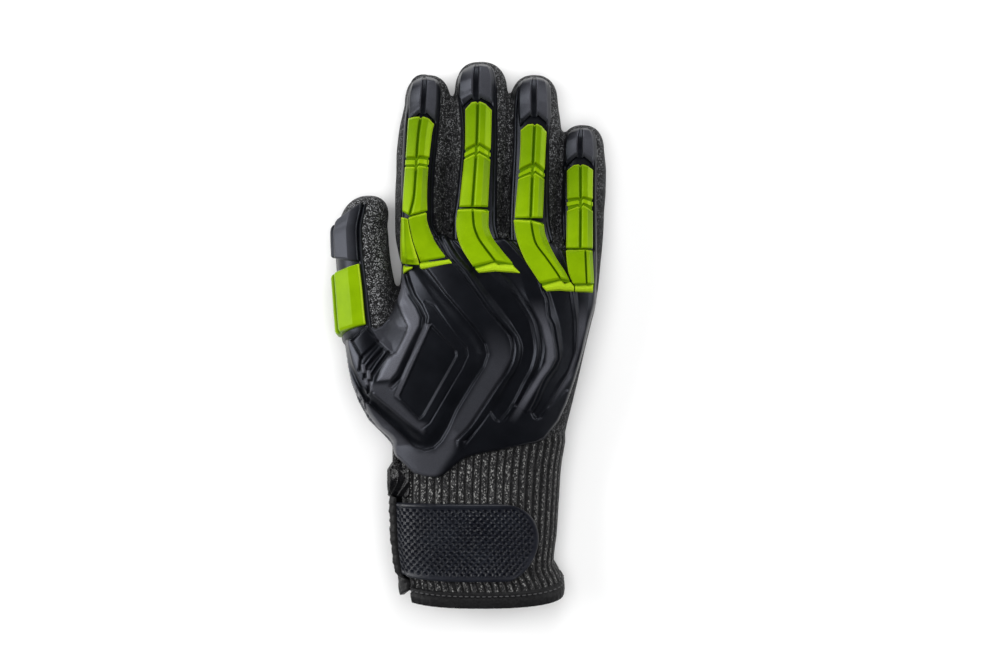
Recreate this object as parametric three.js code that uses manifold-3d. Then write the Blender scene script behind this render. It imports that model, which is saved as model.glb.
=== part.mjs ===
import * as THREE from "three";
import { mergeVertices } from "three/addons/utils/BufferGeometryUtils.js";
import Module from "manifold-3d";

// Impact glove, right hand, palm down: fingertips along +Y, thumb toward -X, back of the hand up.
// Driving sizes in millimetres. X shares are of gloveWidth, Y of gloveLength, Z of handDepth.
const gloveLength = 260;
const gloveWidth = 131;
const handDepth = 34;
const knitWall = 1.8;
const clearance = 0.3;
const railThickness = 1.6;
const capHeight = 2.2;
const padHeight = 3;
const plateThickness = 1.6;
const ridgeHeight = 2.2;
const strapThickness = 2.2;
const bindingThickness = 1.2;
const gussetThickness = 0.9;
const gussetFold = 0.9;
const flexRibHeight = 1.4;

// Small rules of the build, in millimetres, degrees or shares of the length as each is used.
const tipRoundness = 2.3;
const mouthReach = 12;
const slitInside = -6;
const slitOutside = 4;
const seam = 0.004;
const smoothing = 0.08;

const railTop = clearance + railThickness;
const plateTop = clearance + plateThickness;
const bindingTop = clearance + bindingThickness;

// Rows: y, left edge, right edge, underside, top.
const limbs = {
  palm: {
    sides: 24,
    innerSides: 24,
    mid: 0.42,
    over: 2.4,
    under: 4,
    rows: [
      [-0.494, -0.235, 0.342, 0.05, 0.84],
      [-0.467, -0.237, 0.331, 0.045, 0.83],
      [-0.438, -0.253, 0.307, 0.01, 0.82],
      [-0.379, -0.267, 0.318, -0.04, 0.83],
      [-0.315, -0.271, 0.325, -0.05, 0.85],
      [-0.251, -0.271, 0.333, -0.05, 0.88],
      [-0.206, -0.271, 0.347, -0.05, 0.93],
      [-0.169, -0.333, 0.362, -0.05, 0.96],
      [-0.133, -0.38, 0.38, -0.05, 0.98],
      [-0.087, -0.402, 0.402, -0.05, 1],
      [-0.032, -0.384, 0.427, -0.05, 1],
      [0.014, -0.318, 0.449, -0.05, 1],
      [0.05, -0.267, 0.467, -0.05, 0.99],
      [0.087, -0.242, 0.475, -0.04, 0.97],
      [0.129, -0.238, 0.482, 0, 0.93],
      [0.155, -0.231, 0.44, 0.03, 0.87],
      [0.172, -0.215, 0.4, 0.07, 0.79],
      [0.184, -0.18, 0.35, 0.16, 0.65],
    ],
  },
  index: {
    sides: 14,
    innerSides: 10,
    mid: 0.48,
    over: 2.2,
    under: 2.6,
    tip: 0.468,
    rows: [
      [0.129, -0.245, -0.078, 0.1, 0.86],
      [0.187, -0.264, -0.08, 0.13, 0.82],
      [0.242, -0.264, -0.075, 0.15, 0.79],
      [0.315, -0.256, -0.07, 0.13, 0.74],
      [0.37, -0.245, -0.067, 0.08, 0.68],
      [0.418, -0.225, -0.067, 0.03, 0.6],
    ],
  },
  middle: {
    sides: 14,
    innerSides: 10,
    mid: 0.48,
    over: 2.2,
    under: 2.6,
    tip: 0.492,
    rows: [
      [0.129, -0.067, 0.133, 0.1, 0.9],
      [0.187, -0.071, 0.127, 0.14, 0.85],
      [0.261, -0.064, 0.136, 0.16, 0.82],
      [0.334, -0.058, 0.145, 0.14, 0.77],
      [0.388, -0.056, 0.147, 0.09, 0.71],
      [0.44, -0.042, 0.14, 0.03, 0.62],
    ],
  },
  ring: {
    sides: 14,
    innerSides: 10,
    mid: 0.48,
    over: 2.2,
    under: 2.6,
    tip: 0.468,
    rows: [
      [0.114, 0.14, 0.322, 0.1, 0.88],
      [0.169, 0.136, 0.322, 0.13, 0.83],
      [0.242, 0.144, 0.327, 0.15, 0.79],
      [0.315, 0.153, 0.333, 0.13, 0.74],
      [0.37, 0.156, 0.336, 0.08, 0.68],
      [0.421, 0.162, 0.324, 0.03, 0.6],
    ],
  },
  little: {
    sides: 14,
    innerSides: 10,
    mid: 0.48,
    over: 2.2,
    under: 2.6,
    tip: 0.376,
    rows: [
      [0.078, 0.329, 0.475, 0.08, 0.8],
      [0.129, 0.331, 0.485, 0.11, 0.76],
      [0.197, 0.333, 0.496, 0.13, 0.73],
      [0.261, 0.34, 0.498, 0.11, 0.69],
      [0.297, 0.344, 0.5, 0.08, 0.64],
      [0.334, 0.345, 0.493, 0.04, 0.57],
    ],
  },
  thumb: {
    sides: 14,
    innerSides: 10,
    mid: 0.46,
    over: 2.2,
    under: 2.6,
    tip: 0.24,
    rows: [
      [-0.16, -0.333, -0.1, 0.02, 0.86],
      [-0.096, -0.42, -0.173, 0.02, 0.84],
      [-0.032, -0.443, -0.216, 0.02, 0.8],
      [0.023, -0.452, -0.253, 0.03, 0.77],
      [0.078, -0.46, -0.267, 0.04, 0.75],
      [0.142, -0.469, -0.289, 0.05, 0.72],
      [0.184, -0.472, -0.296, 0.05, 0.66],
    ],
  },
};

// Guards of each digit. Angles in degrees from +X toward +Z.
// Each end pair is y at the sides, then y on the centre line.
const guards = {
  index: {
    roll: 102,
    railHalf: 37,
    padHalf: 24,
    foot: 0.173,
    cap: [0.385, 0.407],
    distal: { low: [0.319, 0.318], high: [0.381, 0.393] },
    link: { low: [0.304, 0.304], high: [0.314, 0.314] },
    proximal: { low: [0.218, 0.213], high: [0.301, 0.301] },
    knuckle: [
      [0.207, -0.238, -0.213, -0.202, -0.147],
      [0.184, -0.238, -0.209, -0.198, -0.135],
      [0.158, -0.238, -0.198, -0.187, -0.104],
      [0.136, -0.238, -0.184, -0.169, -0.071],
    ],
    bar: [
      [0.127, -0.171, -0.118, -0.064],
      [0.116, -0.158, -0.107, -0.055],
    ],
  },
  middle: {
    roll: 93,
    railHalf: 37,
    padHalf: 26,
    foot: 0.173,
    cap: [0.412, 0.434],
    distal: { low: [0.332, 0.341], high: [0.405, 0.42] },
    link: { low: [0.318, 0.327], high: [0.328, 0.337] },
    proximal: { low: [0.227, 0.227], high: [0.314, 0.324] },
    knuckle: [
      [0.218, -0.036, 0.022, 0.031, 0.076],
      [0.191, -0.042, 0.024, 0.035, 0.076],
      [0.169, -0.036, 0.038, 0.053, 0.093],
      [0.147, -0.02, 0.067, 0.082, 0.124],
      [0.127, 0.009, 0.1, 0.115, 0.162],
    ],
    bar: [
      [0.121, 0.027, 0.096, 0.165],
      [0.109, 0.045, 0.116, 0.187],
    ],
  },
  ring: {
    roll: 93,
    railHalf: 38,
    padHalf: 26,
    foot: 0.173,
    cap: [0.374, 0.387],
    distal: { low: [0.295, 0.306], high: [0.367, 0.379] },
    link: { low: [0.282, 0.292], high: [0.292, 0.301] },
    proximal: { low: [0.207, 0.207], high: [0.279, 0.288] },
    knuckle: [
      [0.202, 0.167, 0.229, 0.238, 0.271],
      [0.173, 0.171, 0.238, 0.251, 0.278],
      [0.147, 0.187, 0.262, 0.275, 0.298],
      [0.122, 0.215, 0.296, 0.307, 0.333],
      [0.096, 0.253, 0.336, 0.345, 0.362],
    ],
    bar: [
      [0.09, 0.267, 0.316, 0.365],
      [0.076, 0.284, 0.332, 0.38],
    ],
  },
  little: {
    roll: 97,
    railHalf: 38,
    padHalf: 27,
    foot: 0.155,
    cap: [0.301, 0.319],
    distal: { low: [0.24, 0.244], high: [0.295, 0.306] },
    link: { low: [0.228, 0.23], high: [0.235, 0.241] },
    proximal: { low: [0.16, 0.16], high: [0.222, 0.229] },
    knuckle: [
      [0.147, 0.356, 0.409, 0.418, 0.451],
      [0.129, 0.36, 0.413, 0.422, 0.453],
      [0.111, 0.367, 0.416, 0.425, 0.456],
      [0.092, 0.376, 0.42, 0.429, 0.456],
    ],
    bar: [
      [0.088, 0.384, 0.42, 0.456],
      [0.074, 0.391, 0.424, 0.456],
    ],
  },
};

const thumbGuard = {
  roll: 140,
  railHalf: 50,
  padHalf: 42,
  foot: -0.012,
  cap: [0.125, 0.133],
  pad: { low: [-0.001, 0.01], high: [0.107, 0.118] },
  flexAngles: [98, 154],
  flexRibs: [-0.038, -0.07, -0.102],
  flexRibWidth: 0.018,
  flexRibSlope: 0.034,
};

// Height of a pad's roof across its width, -1 and 1 being its long edges.
const roof = [
  [-1, 0.55],
  [-0.3, 1],
  [-0.1, 0.6],
  [0.1, 0.6],
  [0.3, 1],
  [1, 0.55],
];
const thumbRoof = [
  [-1, 0.4],
  [-0.65, 0.8],
  [-0.3, 1],
  [-0.08, 0.6],
  [0.08, 0.6],
  [0.3, 1],
  [0.65, 0.8],
  [1, 0.4],
];
const knuckleRoof = [0.5, 1, 0.75, 0.45];
const barRoof = [0.6, 0.9, 0.6];

// Back plate. Columns after y: saddle, saddle edge, label left, label right, frame, gutter,
// crease, seam, channel A, ridge A, edge B, channel B, ridge B, rim; then how full the relief is.
const plateRows = [
  [0.169, -0.235, -0.216, -0.195, -0.173, -0.151, -0.125, -0.1, -0.064, -0.009, 0.053, 0.136, 0.227, 0.336, 0.471, 0],
  [0.129, -0.235, -0.213, -0.191, -0.169, -0.144, -0.115, -0.085, -0.02, 0.045, 0.136, 0.227, 0.318, 0.409, 0.471, 0],
  [0.1, -0.235, -0.224, -0.213, -0.202, -0.187, -0.158, -0.129, 0.02, 0.089, 0.147, 0.238, 0.322, 0.384, 0.471, 0.3],
  [0.059, -0.253, -0.227, -0.202, -0.184, -0.133, -0.1, -0.067, 0.076, 0.14, 0.191, 0.285, 0.336, 0.384, 0.46, 1],
  [0.014, -0.296, -0.18, -0.136, -0.122, -0.067, -0.027, 0.013, 0.151, 0.198, 0.238, 0.322, 0.358, 0.395, 0.442, 1],
  [-0.03, -0.3, -0.235, -0.18, -0.045, -0.009, 0.031, 0.067, 0.18, 0.22, 0.253, 0.333, 0.365, 0.395, 0.424, 1],
  [-0.059, -0.289, -0.256, -0.205, -0.056, -0.02, 0.02, 0.06, 0.176, 0.209, 0.242, 0.322, 0.351, 0.38, 0.409, 1],
  [-0.09, -0.289, -0.26, -0.231, -0.089, -0.056, -0.016, 0.02, 0.136, 0.173, 0.209, 0.285, 0.315, 0.344, 0.398, 1],
  [-0.123, -0.296, -0.275, -0.253, -0.125, -0.096, -0.056, -0.024, 0.093, 0.129, 0.169, 0.242, 0.275, 0.304, 0.376, 1],
  [-0.151, -0.318, -0.282, -0.238, -0.158, -0.133, -0.096, -0.056, 0.045, 0.082, 0.133, 0.198, 0.235, 0.264, 0.358, 1],
  [-0.178, -0.304, -0.275, -0.235, -0.191, -0.158, -0.122, -0.078, 0.002, 0.045, 0.093, 0.14, 0.184, 0.227, 0.333, 0.5],
  [-0.206, -0.275, -0.249, -0.227, -0.202, -0.173, -0.136, -0.1, -0.056, -0.02, 0.016, 0.053, 0.1, 0.136, 0.227, 0.1],
  [-0.226, -0.256, -0.238, -0.216, -0.195, -0.169, -0.144, -0.118, -0.096, -0.078, -0.06, -0.042, -0.027, -0.013, 0.016, 0],
  [-0.259, -0.202, -0.191, -0.18, -0.169, -0.162, -0.151, -0.144, -0.136, -0.129, -0.122, -0.115, -0.107, -0.1, -0.085, 0],
];
const plateRelief = [0, 0.9, 0, 0, 0.9, 0, 0.4, 0.9, 0, 1, 0.8, 0, 0.9, 0.3];
const reliefFloor = 0.2;
const reliefSunk = -0.4;
// The head of the plate steps back below the little finger.
const plateStep = [
  [0.471, 0.149],
  [0.335, 0.149],
  [0.322, 0.169],
];

// Cuff. Angles in degrees around the cuff, y in shares of the length.
const slit = { front: 147, rear: 190, head: -0.242 };
const strap = { low: -0.449, high: -0.312, step: 137, start: 171, end: 41, rounding: 22 };
const hem = { low: -0.494, high: -0.467 };
const strip = { angle: 7, gap: 0.5, frontHead: -0.266, rearHead: -0.246 };
const gusset = { depth: 1.1, folds: 10, inset: 2, head: -0.248 };

// The cuff's mouth slants below a height: the palm side is shorter than the back.
const slant = { length: 0.042 * gloveLength, from: -0.3, over: 0.17, level: 0.84 * handDepth };

const wasm = await Module();
wasm.setup();

const mix = (a, b, t) => a + (b - a) * t;

const lastRow = (limb) => limb.rows[limb.rows.length - 1][0];

function lookUp(table, key) {
  if (key <= table[0][0]) {
    return table[0].slice(1);
  }
  for (let i = 1; i < table.length; i += 1) {
    if (key <= table[i][0]) {
      const t = (key - table[i - 1][0]) / (table[i][0] - table[i - 1][0]);
      return table[i].slice(1).map((value, k) => mix(table[i - 1][k + 1], value, t));
    }
  }
  return table[table.length - 1].slice(1);
}

// Section of a limb at y, grown by d: centre, half width, height above and below the centre.
function section(limb, y, d) {
  const lastY = lastRow(limb);
  const [left, right, bottom, top] = lookUp(limb.rows, Math.min(y, lastY));
  const centreZ = mix(bottom, top, limb.mid) * handDepth;
  let length = y * gloveLength;
  let grow = 1;
  if (limb.tip && y > lastY) {
    const t = (y - lastY) / (limb.tip - lastY);
    grow = Math.max(1 - t ** tipRoundness, 0) ** (1 / tipRoundness);
    length = lastY * gloveLength + t * ((limb.tip - lastY) * gloveLength + d);
  }
  return {
    length,
    centreX: ((left + right) / 2) * gloveWidth,
    centreZ,
    half: (((right - left) / 2) * gloveWidth + d) * grow,
    up: (top * handDepth - centreZ + d) * grow,
    down: (centreZ - bottom * handDepth + d) * grow,
  };
}

function lean(limb, y, z) {
  const amount = Math.min(Math.max((slant.from - y) / slant.over, 0), 1);
  return limb === limbs.palm ? slant.length * amount * (1 - z / slant.level) : 0;
}

function point(limb, y, degrees, d) {
  const at = section(limb, y, d);
  const angle = THREE.MathUtils.degToRad(degrees);
  const across = Math.cos(angle);
  const rise = Math.sin(angle);
  const power = 2 / (rise > 0 ? limb.over : limb.under);
  const x = at.centreX + at.half * Math.sign(across) * Math.abs(across) ** power;
  const height = rise > 0 ? at.up : at.down;
  const z = at.centreZ + height * Math.sign(rise) * Math.abs(rise) ** power;
  const held = Math.max(z, d < 0 ? -d : 0);
  return [x, at.length + lean(limb, y, held), held];
}

function axisPoint(limb, y) {
  const at = section(limb, y, 0);
  return [at.centreX, at.length, at.centreZ];
}

// Highest point of the limbs, grown by d, above a place on the chart.
function dorsal(x, y, d) {
  let height = 0;
  for (const limb of Object.values(limbs)) {
    if (y < limb.rows[0][0] || y > (limb.tip || lastRow(limb))) {
      continue;
    }
    const at = section(limb, y, d);
    const u = Math.abs(x * gloveWidth - at.centreX) / at.half;
    if (u < 1) {
      height = Math.max(height, at.centreZ + at.up * (1 - u ** limb.over) ** (1 / limb.over));
    }
  }
  return height;
}

function solidFrom(points, faces) {
  const geometry = new THREE.BufferGeometry();
  geometry.setAttribute("position", new THREE.Float32BufferAttribute(points.flat(), 3));
  geometry.setIndex(faces.flat());
  const merged = mergeVertices(geometry, 1e-3);
  const index = merged.index.array;
  const place = merged.attributes.position.array;
  const kept = [];
  let volume = 0;
  for (let i = 0; i < index.length; i += 3) {
    const [a, b, c] = [index[i], index[i + 1], index[i + 2]];
    if (a === b || b === c || c === a) {
      continue;
    }
    kept.push(a, b, c);
    const [p, q, r] = [a, b, c].map((k) => new THREE.Vector3().fromArray(place, k * 3));
    volume += p.dot(q.cross(r));
  }
  if (volume < 0) {
    for (let i = 0; i < kept.length; i += 3) {
      [kept[i + 1], kept[i + 2]] = [kept[i + 2], kept[i + 1]];
    }
  }
  return new wasm.Manifold(
    new wasm.Mesh({
      numProp: 3,
      vertProperties: new Float32Array(place),
      triVerts: new Uint32Array(kept),
    }),
  );
}

// Closed solid between two grids of points with the same rows and columns.
function block(inner, outer) {
  const rows = inner.length;
  const columns = inner[0].length;
  const points = [...inner.flat(), ...outer.flat()];
  const low = (i, j) => i * columns + j;
  const high = (i, j) => rows * columns + i * columns + j;
  const faces = [];
  const quad = (a, b, c, d) => faces.push([a, b, c], [a, c, d]);
  for (let i = 0; i + 1 < rows; i += 1) {
    for (let j = 0; j + 1 < columns; j += 1) {
      quad(high(i, j), high(i, j + 1), high(i + 1, j + 1), high(i + 1, j));
      quad(low(i, j), low(i + 1, j), low(i + 1, j + 1), low(i, j + 1));
    }
    quad(low(i, 0), high(i, 0), high(i + 1, 0), low(i + 1, 0));
    quad(low(i, columns - 1), low(i + 1, columns - 1), high(i + 1, columns - 1), high(i, columns - 1));
  }
  for (let j = 0; j + 1 < columns; j += 1) {
    quad(low(0, j), low(0, j + 1), high(0, j + 1), high(0, j));
    quad(low(rows - 1, j), high(rows - 1, j), high(rows - 1, j + 1), low(rows - 1, j + 1));
  }
  return solidFrom(points, faces);
}

function tube(rings) {
  const sides = rings[0].length;
  const points = rings.flat();
  const faces = [];
  for (let i = 0; i + 1 < rings.length; i += 1) {
    for (let j = 0; j < sides; j += 1) {
      const k = (j + 1) % sides;
      const [a, b, c, d] = [i * sides + j, i * sides + k, (i + 1) * sides + k, (i + 1) * sides + j];
      faces.push([a, b, c], [a, c, d]);
    }
  }
  const last = (rings.length - 1) * sides;
  for (let j = 1; j + 1 < sides; j += 1) {
    faces.push([0, j + 1, j], [last, last + j, last + j + 1]);
  }
  return solidFrom(points, faces);
}

function joined(solids) {
  return solids.reduce((all, solid) => all.add(solid));
}

const tipSteps = [0.35, 0.65, 0.87, 1];

function limbSolid(limb, d, reach = 0) {
  const stations = limb.rows.map((row) => [row[0], 0]);
  if (limb.tip) {
    stations[0][1] = -d;
    tipSteps.forEach((t) => stations.push([mix(lastRow(limb), limb.tip, t), 0]));
  } else {
    stations[stations.length - 1][1] = d;
  }
  if (reach) {
    stations.unshift([stations[0][0], -reach]);
  }
  const sides = d < 0 ? limb.innerSides : limb.sides;
  return tube(
    stations.map(([y, shift]) =>
      Array.from({ length: sides }, (_, k) => {
        const [x, along, z] = point(limb, y, ((k + 0.5) * 360) / sides, d);
        return [x, along + shift, z];
      }),
    ),
  );
}

function allLimbs(d, reach = 0) {
  return joined(
    Object.values(limbs).map((limb) => limbSolid(limb, d, limb === limbs.palm ? reach : 0)),
  );
}

const steps = (from, to, count) => Array.from({ length: count + 1 }, (_, k) => mix(from, to, k / count));

// Patch of a limb's surface between two offsets, angle by angle and row by row.
function patch(limb, ys, angles, low, high) {
  const grid = (offset) => ys.map((y) => angles.map((a, j) => point(limb, y, a, offset(y, j))));
  return block(grid(low), grid(high));
}

// Slice of a limb from its axis out to an offset.
function slice(limb, ys, angles, offset) {
  const inner = ys.map((y) => angles.map(() => axisPoint(limb, y)));
  const outer = ys.map((y) => angles.map((a, j) => point(limb, y, a, offset(y, j))));
  return block(inner, outer);
}

function digitStations(limb, low) {
  const rows = limb.rows.map((row) => row[0]).filter((y) => y > low + seam);
  return [low, ...rows, ...tipSteps.map((t) => mix(lastRow(limb), limb.tip, t))];
}

// Raised cap over the fingertip, its lower edge notched as the guard gives.
function capSolid(limb, guard) {
  const tipRows = tipSteps.slice(0, -1).map((t) => mix(lastRow(limb), limb.tip, t));
  const columns = roof.map(([u, height]) => {
    const start = mix(guard.cap[1], guard.cap[0], Math.abs(u));
    return {
      angle: guard.roll - u * guard.padHalf,
      ys: [start, Math.max(lastRow(limb), start + seam), ...tipRows],
      height: railTop + capHeight * height,
    };
  });
  const grid = (offset) =>
    columns[0].ys.map((_, i) => columns.map(({ angle, ys, height }) => point(limb, ys[i], angle, offset(height))));
  return block(
    grid(() => clearance + railThickness / 2),
    grid((height) => height),
  );
}

function rail(limb, guard) {
  const angles = steps(guard.roll - guard.railHalf, guard.roll + guard.railHalf, 4);
  const body = slice(limb, digitStations(limb, guard.foot), angles, () => railTop);
  return largest(body.add(capSolid(limb, guard)).subtract(knitGrown).simplify(smoothing));
}

// Pad on a digit's rail, its ends pointed as given.
function pad(limb, guard, profile, ends, height, rowCount) {
  const angles = profile.map(([u]) => guard.roll - u * guard.padHalf);
  const grid = (offset) =>
    steps(0, 1, rowCount).map((t) =>
      profile.map(([u], j) => {
        const low = mix(ends.low[1], ends.low[0], Math.abs(u));
        const high = mix(ends.high[1], ends.high[0], Math.abs(u));
        return point(limb, mix(low, high, t), angles[j], offset(j));
      }),
    );
  const base = railTop + clearance;
  return block(
    grid(() => base),
    grid((j) => base + height * profile[j][1]),
  );
}

// Pad standing on the plate: rows of y and column places, heights by column.
function chartPad(rows, heights) {
  const grid = (offset) =>
    rows.map(([y, ...xs]) =>
      xs.map((x, j) => [x * gloveWidth, y * gloveLength, dorsal(x, y, plateTop) + offset(j)]),
    );
  return block(
    grid(() => clearance),
    grid((j) => clearance + padHeight * heights[j]),
  );
}

// Main body of a cut solid, without the chips that a cut leaves.
function largest(solid) {
  return solid.decompose().sort((a, b) => b.volume() - a.volume())[0];
}

const lifted = (solid) => solid.add(solid.translate([0, 0, clearance]));

const knitOuter = allLimbs(0);
const knitGrown = allLimbs(clearance);
const slitStations = [hem.low - 0.03, hem.low, hem.high, -0.438, -0.379, -0.315, slit.head];
const slitAngles = steps(slit.front, slit.rear, 6);
const slitCut = patch(limbs.palm, slitStations, slitAngles, () => slitInside, () => slitOutside);
const knitInner = allLimbs(-knitWall, mouthReach);
const knitShell = knitOuter.subtract(knitInner).subtract(slitCut).simplify(smoothing);

function handPlate() {
  const rimColumn = plateRelief.length;
  const outline = [
    ...plateRows.map((row) => [row[1], row[0]]),
    ...plateRows.slice(1).map((row) => [row[rimColumn], row[0]]).reverse(),
    ...plateStep,
  ];
  const shape = new THREE.Shape(
    outline.map(([x, y]) => new THREE.Vector2(x * gloveWidth, y * gloveLength)),
  );
  const extruded = new THREE.ExtrudeGeometry(shape, { depth: handDepth, bevelEnabled: false });
  extruded.deleteAttribute("normal");
  extruded.deleteAttribute("uv");
  const merged = mergeVertices(extruded, 1e-3);
  const prism = new wasm.Manifold(
    new wasm.Mesh({
      numProp: 3,
      vertProperties: new Float32Array(merged.attributes.position.array),
      triVerts: new Uint32Array(merged.index.array),
    }),
  ).translate([0, 0, axisPoint(limbs.palm, 0)[2]]);
  const base = allLimbs(plateTop).intersect(prism);
  const grid = (offset) =>
    plateRows.map((row) =>
      row.slice(1, rimColumn + 1).map((x, j) => [
        x * gloveWidth,
        row[0] * gloveLength,
        dorsal(x, row[0], plateTop) + offset(j, row[rimColumn + 1]),
      ]),
    );
  const relief = block(
    grid(() => -plateThickness / 2),
    grid((j, full) => (full > 0 ? ridgeHeight * plateRelief[j] * full + reliefFloor : reliefSunk)),
  );
  return largest(base.add(relief.intersect(prism)).subtract(knitGrown).simplify(smoothing));
}

const pieces = {};
pieces.knit_shell = [knitShell, "knit"];
const plate = handPlate();
pieces.hand_plate = [plate, "guard_black"];

for (const name of ["index", "middle", "ring", "little"]) {
  const guard = guards[name];
  const limb = limbs[name];
  const digitRail = rail(limb, guard);
  const seat = lifted(plate).add(lifted(digitRail));
  const knuckle = chartPad(guard.knuckle, knuckleRoof).subtract(seat);
  const bar = chartPad(guard.bar, barRoof).subtract(seat);
  pieces[`${name}_rail`] = [digitRail, "guard_black"];
  pieces[`${name}_pad_distal`] = [pad(limb, guard, roof, guard.distal, padHeight, 3), "guard_green"];
  pieces[`${name}_pad_link`] = [pad(limb, guard, roof, guard.link, 0.7 * padHeight, 1), "guard_green"];
  pieces[`${name}_pad_proximal`] = [
    pad(limb, guard, roof, guard.proximal, padHeight, 3).subtract(knitGrown),
    "guard_green",
  ];
  pieces[`${name}_pad_knuckle`] = [largest(knuckle), "guard_green"];
  pieces[`${name}_knuckle_bar`] = [largest(bar), "guard_green"];
}

function thumbRail() {
  const limb = limbs.thumb;
  const angles = (half) => steps(thumbGuard.roll - half, thumbGuard.roll + half, 5);
  const rows = digitStations(limb, thumbGuard.foot);
  const body = slice(limb, rows, angles(thumbGuard.railHalf), () => railTop);
  const capRows = digitStations(limb, thumbGuard.cap[0]);
  const cap = slice(limb, capRows, angles(thumbGuard.padHalf), () => railTop + capHeight);
  const flexAngles = steps(...thumbGuard.flexAngles, 4);
  const spineRows = [thumbGuard.flexRibs[2], thumbGuard.flexRibs[0], thumbGuard.foot + seam];
  const spine = patch(limb, spineRows, flexAngles, () => clearance / 2, () => railTop);
  const ribs = thumbGuard.flexRibs.map((y) => {
    const grid = (offset) =>
      [-0.5, 0.5].map((side) =>
        flexAngles.map((a, j) => {
          const slope = thumbGuard.flexRibSlope * (0.5 - j / 4);
          return point(limb, y + side * thumbGuard.flexRibWidth + slope, a, offset);
        }),
      );
    return block(grid(clearance / 2), grid(railTop + flexRibHeight));
  });
  return largest(joined([body, cap, spine, ...ribs]).subtract(knitGrown).simplify(smoothing));
}

pieces.thumb_rail = [thumbRail().subtract(lifted(plate)), "guard_black"];
pieces.thumb_pad = [pad(limbs.thumb, thumbGuard, thumbRoof, thumbGuard.pad, padHeight, 4), "guard_green"];

function strapSolid() {
  const palm = limbs.palm;
  const angles = [...steps(strap.start, strap.step, 4), ...steps(strap.step - 5, strap.end, 9)];
  const centre = (strap.low + strap.high) / 2;
  const half = (strap.high - strap.low) / 2;
  const over = (a) => (a < strap.step ? clearance : bindingTop + clearance);
  const roundEnd = (a) => Math.max((strap.end + strap.rounding - a) / (strap.rounding + 1), 0);
  const span = (a) => Math.sqrt(1 - roundEnd(a) ** 2);
  const grid = (lift) =>
    steps(-1, 1, 5).map((v) => angles.map((a) => point(palm, centre + v * half * span(a), a, over(a) + lift)));
  return block(grid(0), grid(strapThickness));
}

// Channel folded over the cuff's mouth: the profile's y and offset, carried round the angles.
function channel(profile, angles) {
  const count = profile.length;
  const points = angles.flatMap((a) => profile.map(([y, d]) => point(limbs.palm, y, a, d)));
  const faces = [];
  for (let i = 0; i + 1 < angles.length; i += 1) {
    for (let j = 0; j < count; j += 1) {
      const k = (j + 1) % count;
      const [a, b, c, d] = [i * count + j, i * count + k, (i + 1) * count + k, (i + 1) * count + j];
      faces.push([a, b, c], [a, c, d]);
    }
  }
  const flat = profile.map(([y, d]) => new THREE.Vector2(y * gloveLength, d));
  const last = (angles.length - 1) * count;
  const turned = THREE.ShapeUtils.isClockWise(flat);
  THREE.ShapeUtils.triangulateShape(flat, []).forEach(([a, b, c]) => {
    faces.push(turned ? [a, b, c] : [a, c, b]);
    faces.push(turned ? [last + a, last + c, last + b] : [last + a, last + b, last + c]);
  });
  return solidFrom(points, faces);
}

const cuffEnds = [slit.rear + 1, 360 + slit.front - 1];
const sideAngle = 360 / limbs.palm.sides;
const knitAngles = Array.from({ length: 2 * limbs.palm.sides }, (_, k) => (k + 0.5) * sideAngle);
const aroundCuff = [
  cuffEnds[0],
  ...knitAngles.filter((a) => a > cuffEnds[0] + 2 && a < cuffEnds[1] - 2),
  cuffEnds[1],
];
const lipY = hem.low - clearance / gloveLength;
const lipEnd = hem.low - bindingTop / gloveLength;
const hemInside = -knitWall - 3 * clearance;
const hemProfile = [
  [hem.high, clearance],
  [hem.high, bindingTop],
  [lipEnd, bindingTop],
  [lipEnd, hemInside - bindingThickness],
  [hem.high, hemInside - bindingThickness],
  [hem.high, hemInside],
  [lipY, hemInside],
  [lipY, clearance],
];
pieces.hem_binding = [channel(hemProfile, aroundCuff), "binding"];

function ringPatch(ys, angles, low, high) {
  return patch(limbs.palm, ys, angles, () => low, () => high);
}

const stripRows = [hem.high + seam, -0.438, -0.379, -0.315];
const stripSolid = (head, from, to) =>
  ringPatch([...stripRows, head], steps(from, to, 2), clearance, bindingTop);
const frontEdge = slit.front - strip.gap;
const rearEdge = slit.rear + strip.gap;
const frontStrip = stripSolid(strip.frontHead, frontEdge, frontEdge - strip.angle);
const rearStrip = stripSolid(strip.rearHead, rearEdge, rearEdge + strip.angle);
pieces.slit_binding_front = [frontStrip, "binding"];
pieces.slit_binding_rear = [rearStrip, "binding"];

function gussetSolid() {
  const angles = steps(slit.front + gusset.inset, slit.rear - gusset.inset, gusset.folds);
  const fold = (j) => -gusset.depth - (j % 2) * gussetFold;
  return patch(
    limbs.palm,
    [...stripRows, gusset.head],
    angles,
    (_, j) => fold(j) - gussetThickness,
    (_, j) => fold(j),
  );
}

pieces.gusset = [gussetSolid(), "gusset_fabric"];
pieces.cuff_strap = [strapSolid(), "strap_rubber"];

const materials = {
  knit: { color: 0x2b2d30, roughness: 0.95 },
  guard_black: { color: 0x17191c, roughness: 0.5 },
  guard_green: { color: 0x86bd0c, roughness: 0.4 },
  strap_rubber: { color: 0x1b1d20, roughness: 0.6 },
  binding: { color: 0x101113, roughness: 0.8 },
  gusset_fabric: { color: 0x0d0e10, roughness: 0.7 },
};

function meshOf(name, solid, material) {
  const data = solid.getMesh();
  const geometry = new THREE.BufferGeometry();
  geometry.setAttribute("position", new THREE.BufferAttribute(new Float32Array(data.vertProperties), 3));
  geometry.setIndex(new THREE.BufferAttribute(new Uint32Array(data.triVerts), 1));
  const mesh = new THREE.Mesh(
    mergeVertices(geometry, 1e-3),
    new THREE.MeshStandardMaterial({ ...materials[material], name: material }),
  );
  mesh.name = name;
  return mesh;
}

const group = new THREE.Group();
group.name = "impact_glove";
for (const [name, [solid, material]] of Object.entries(pieces)) {
  group.add(meshOf(name, solid, material));
}

export default group;
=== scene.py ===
import math

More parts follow.
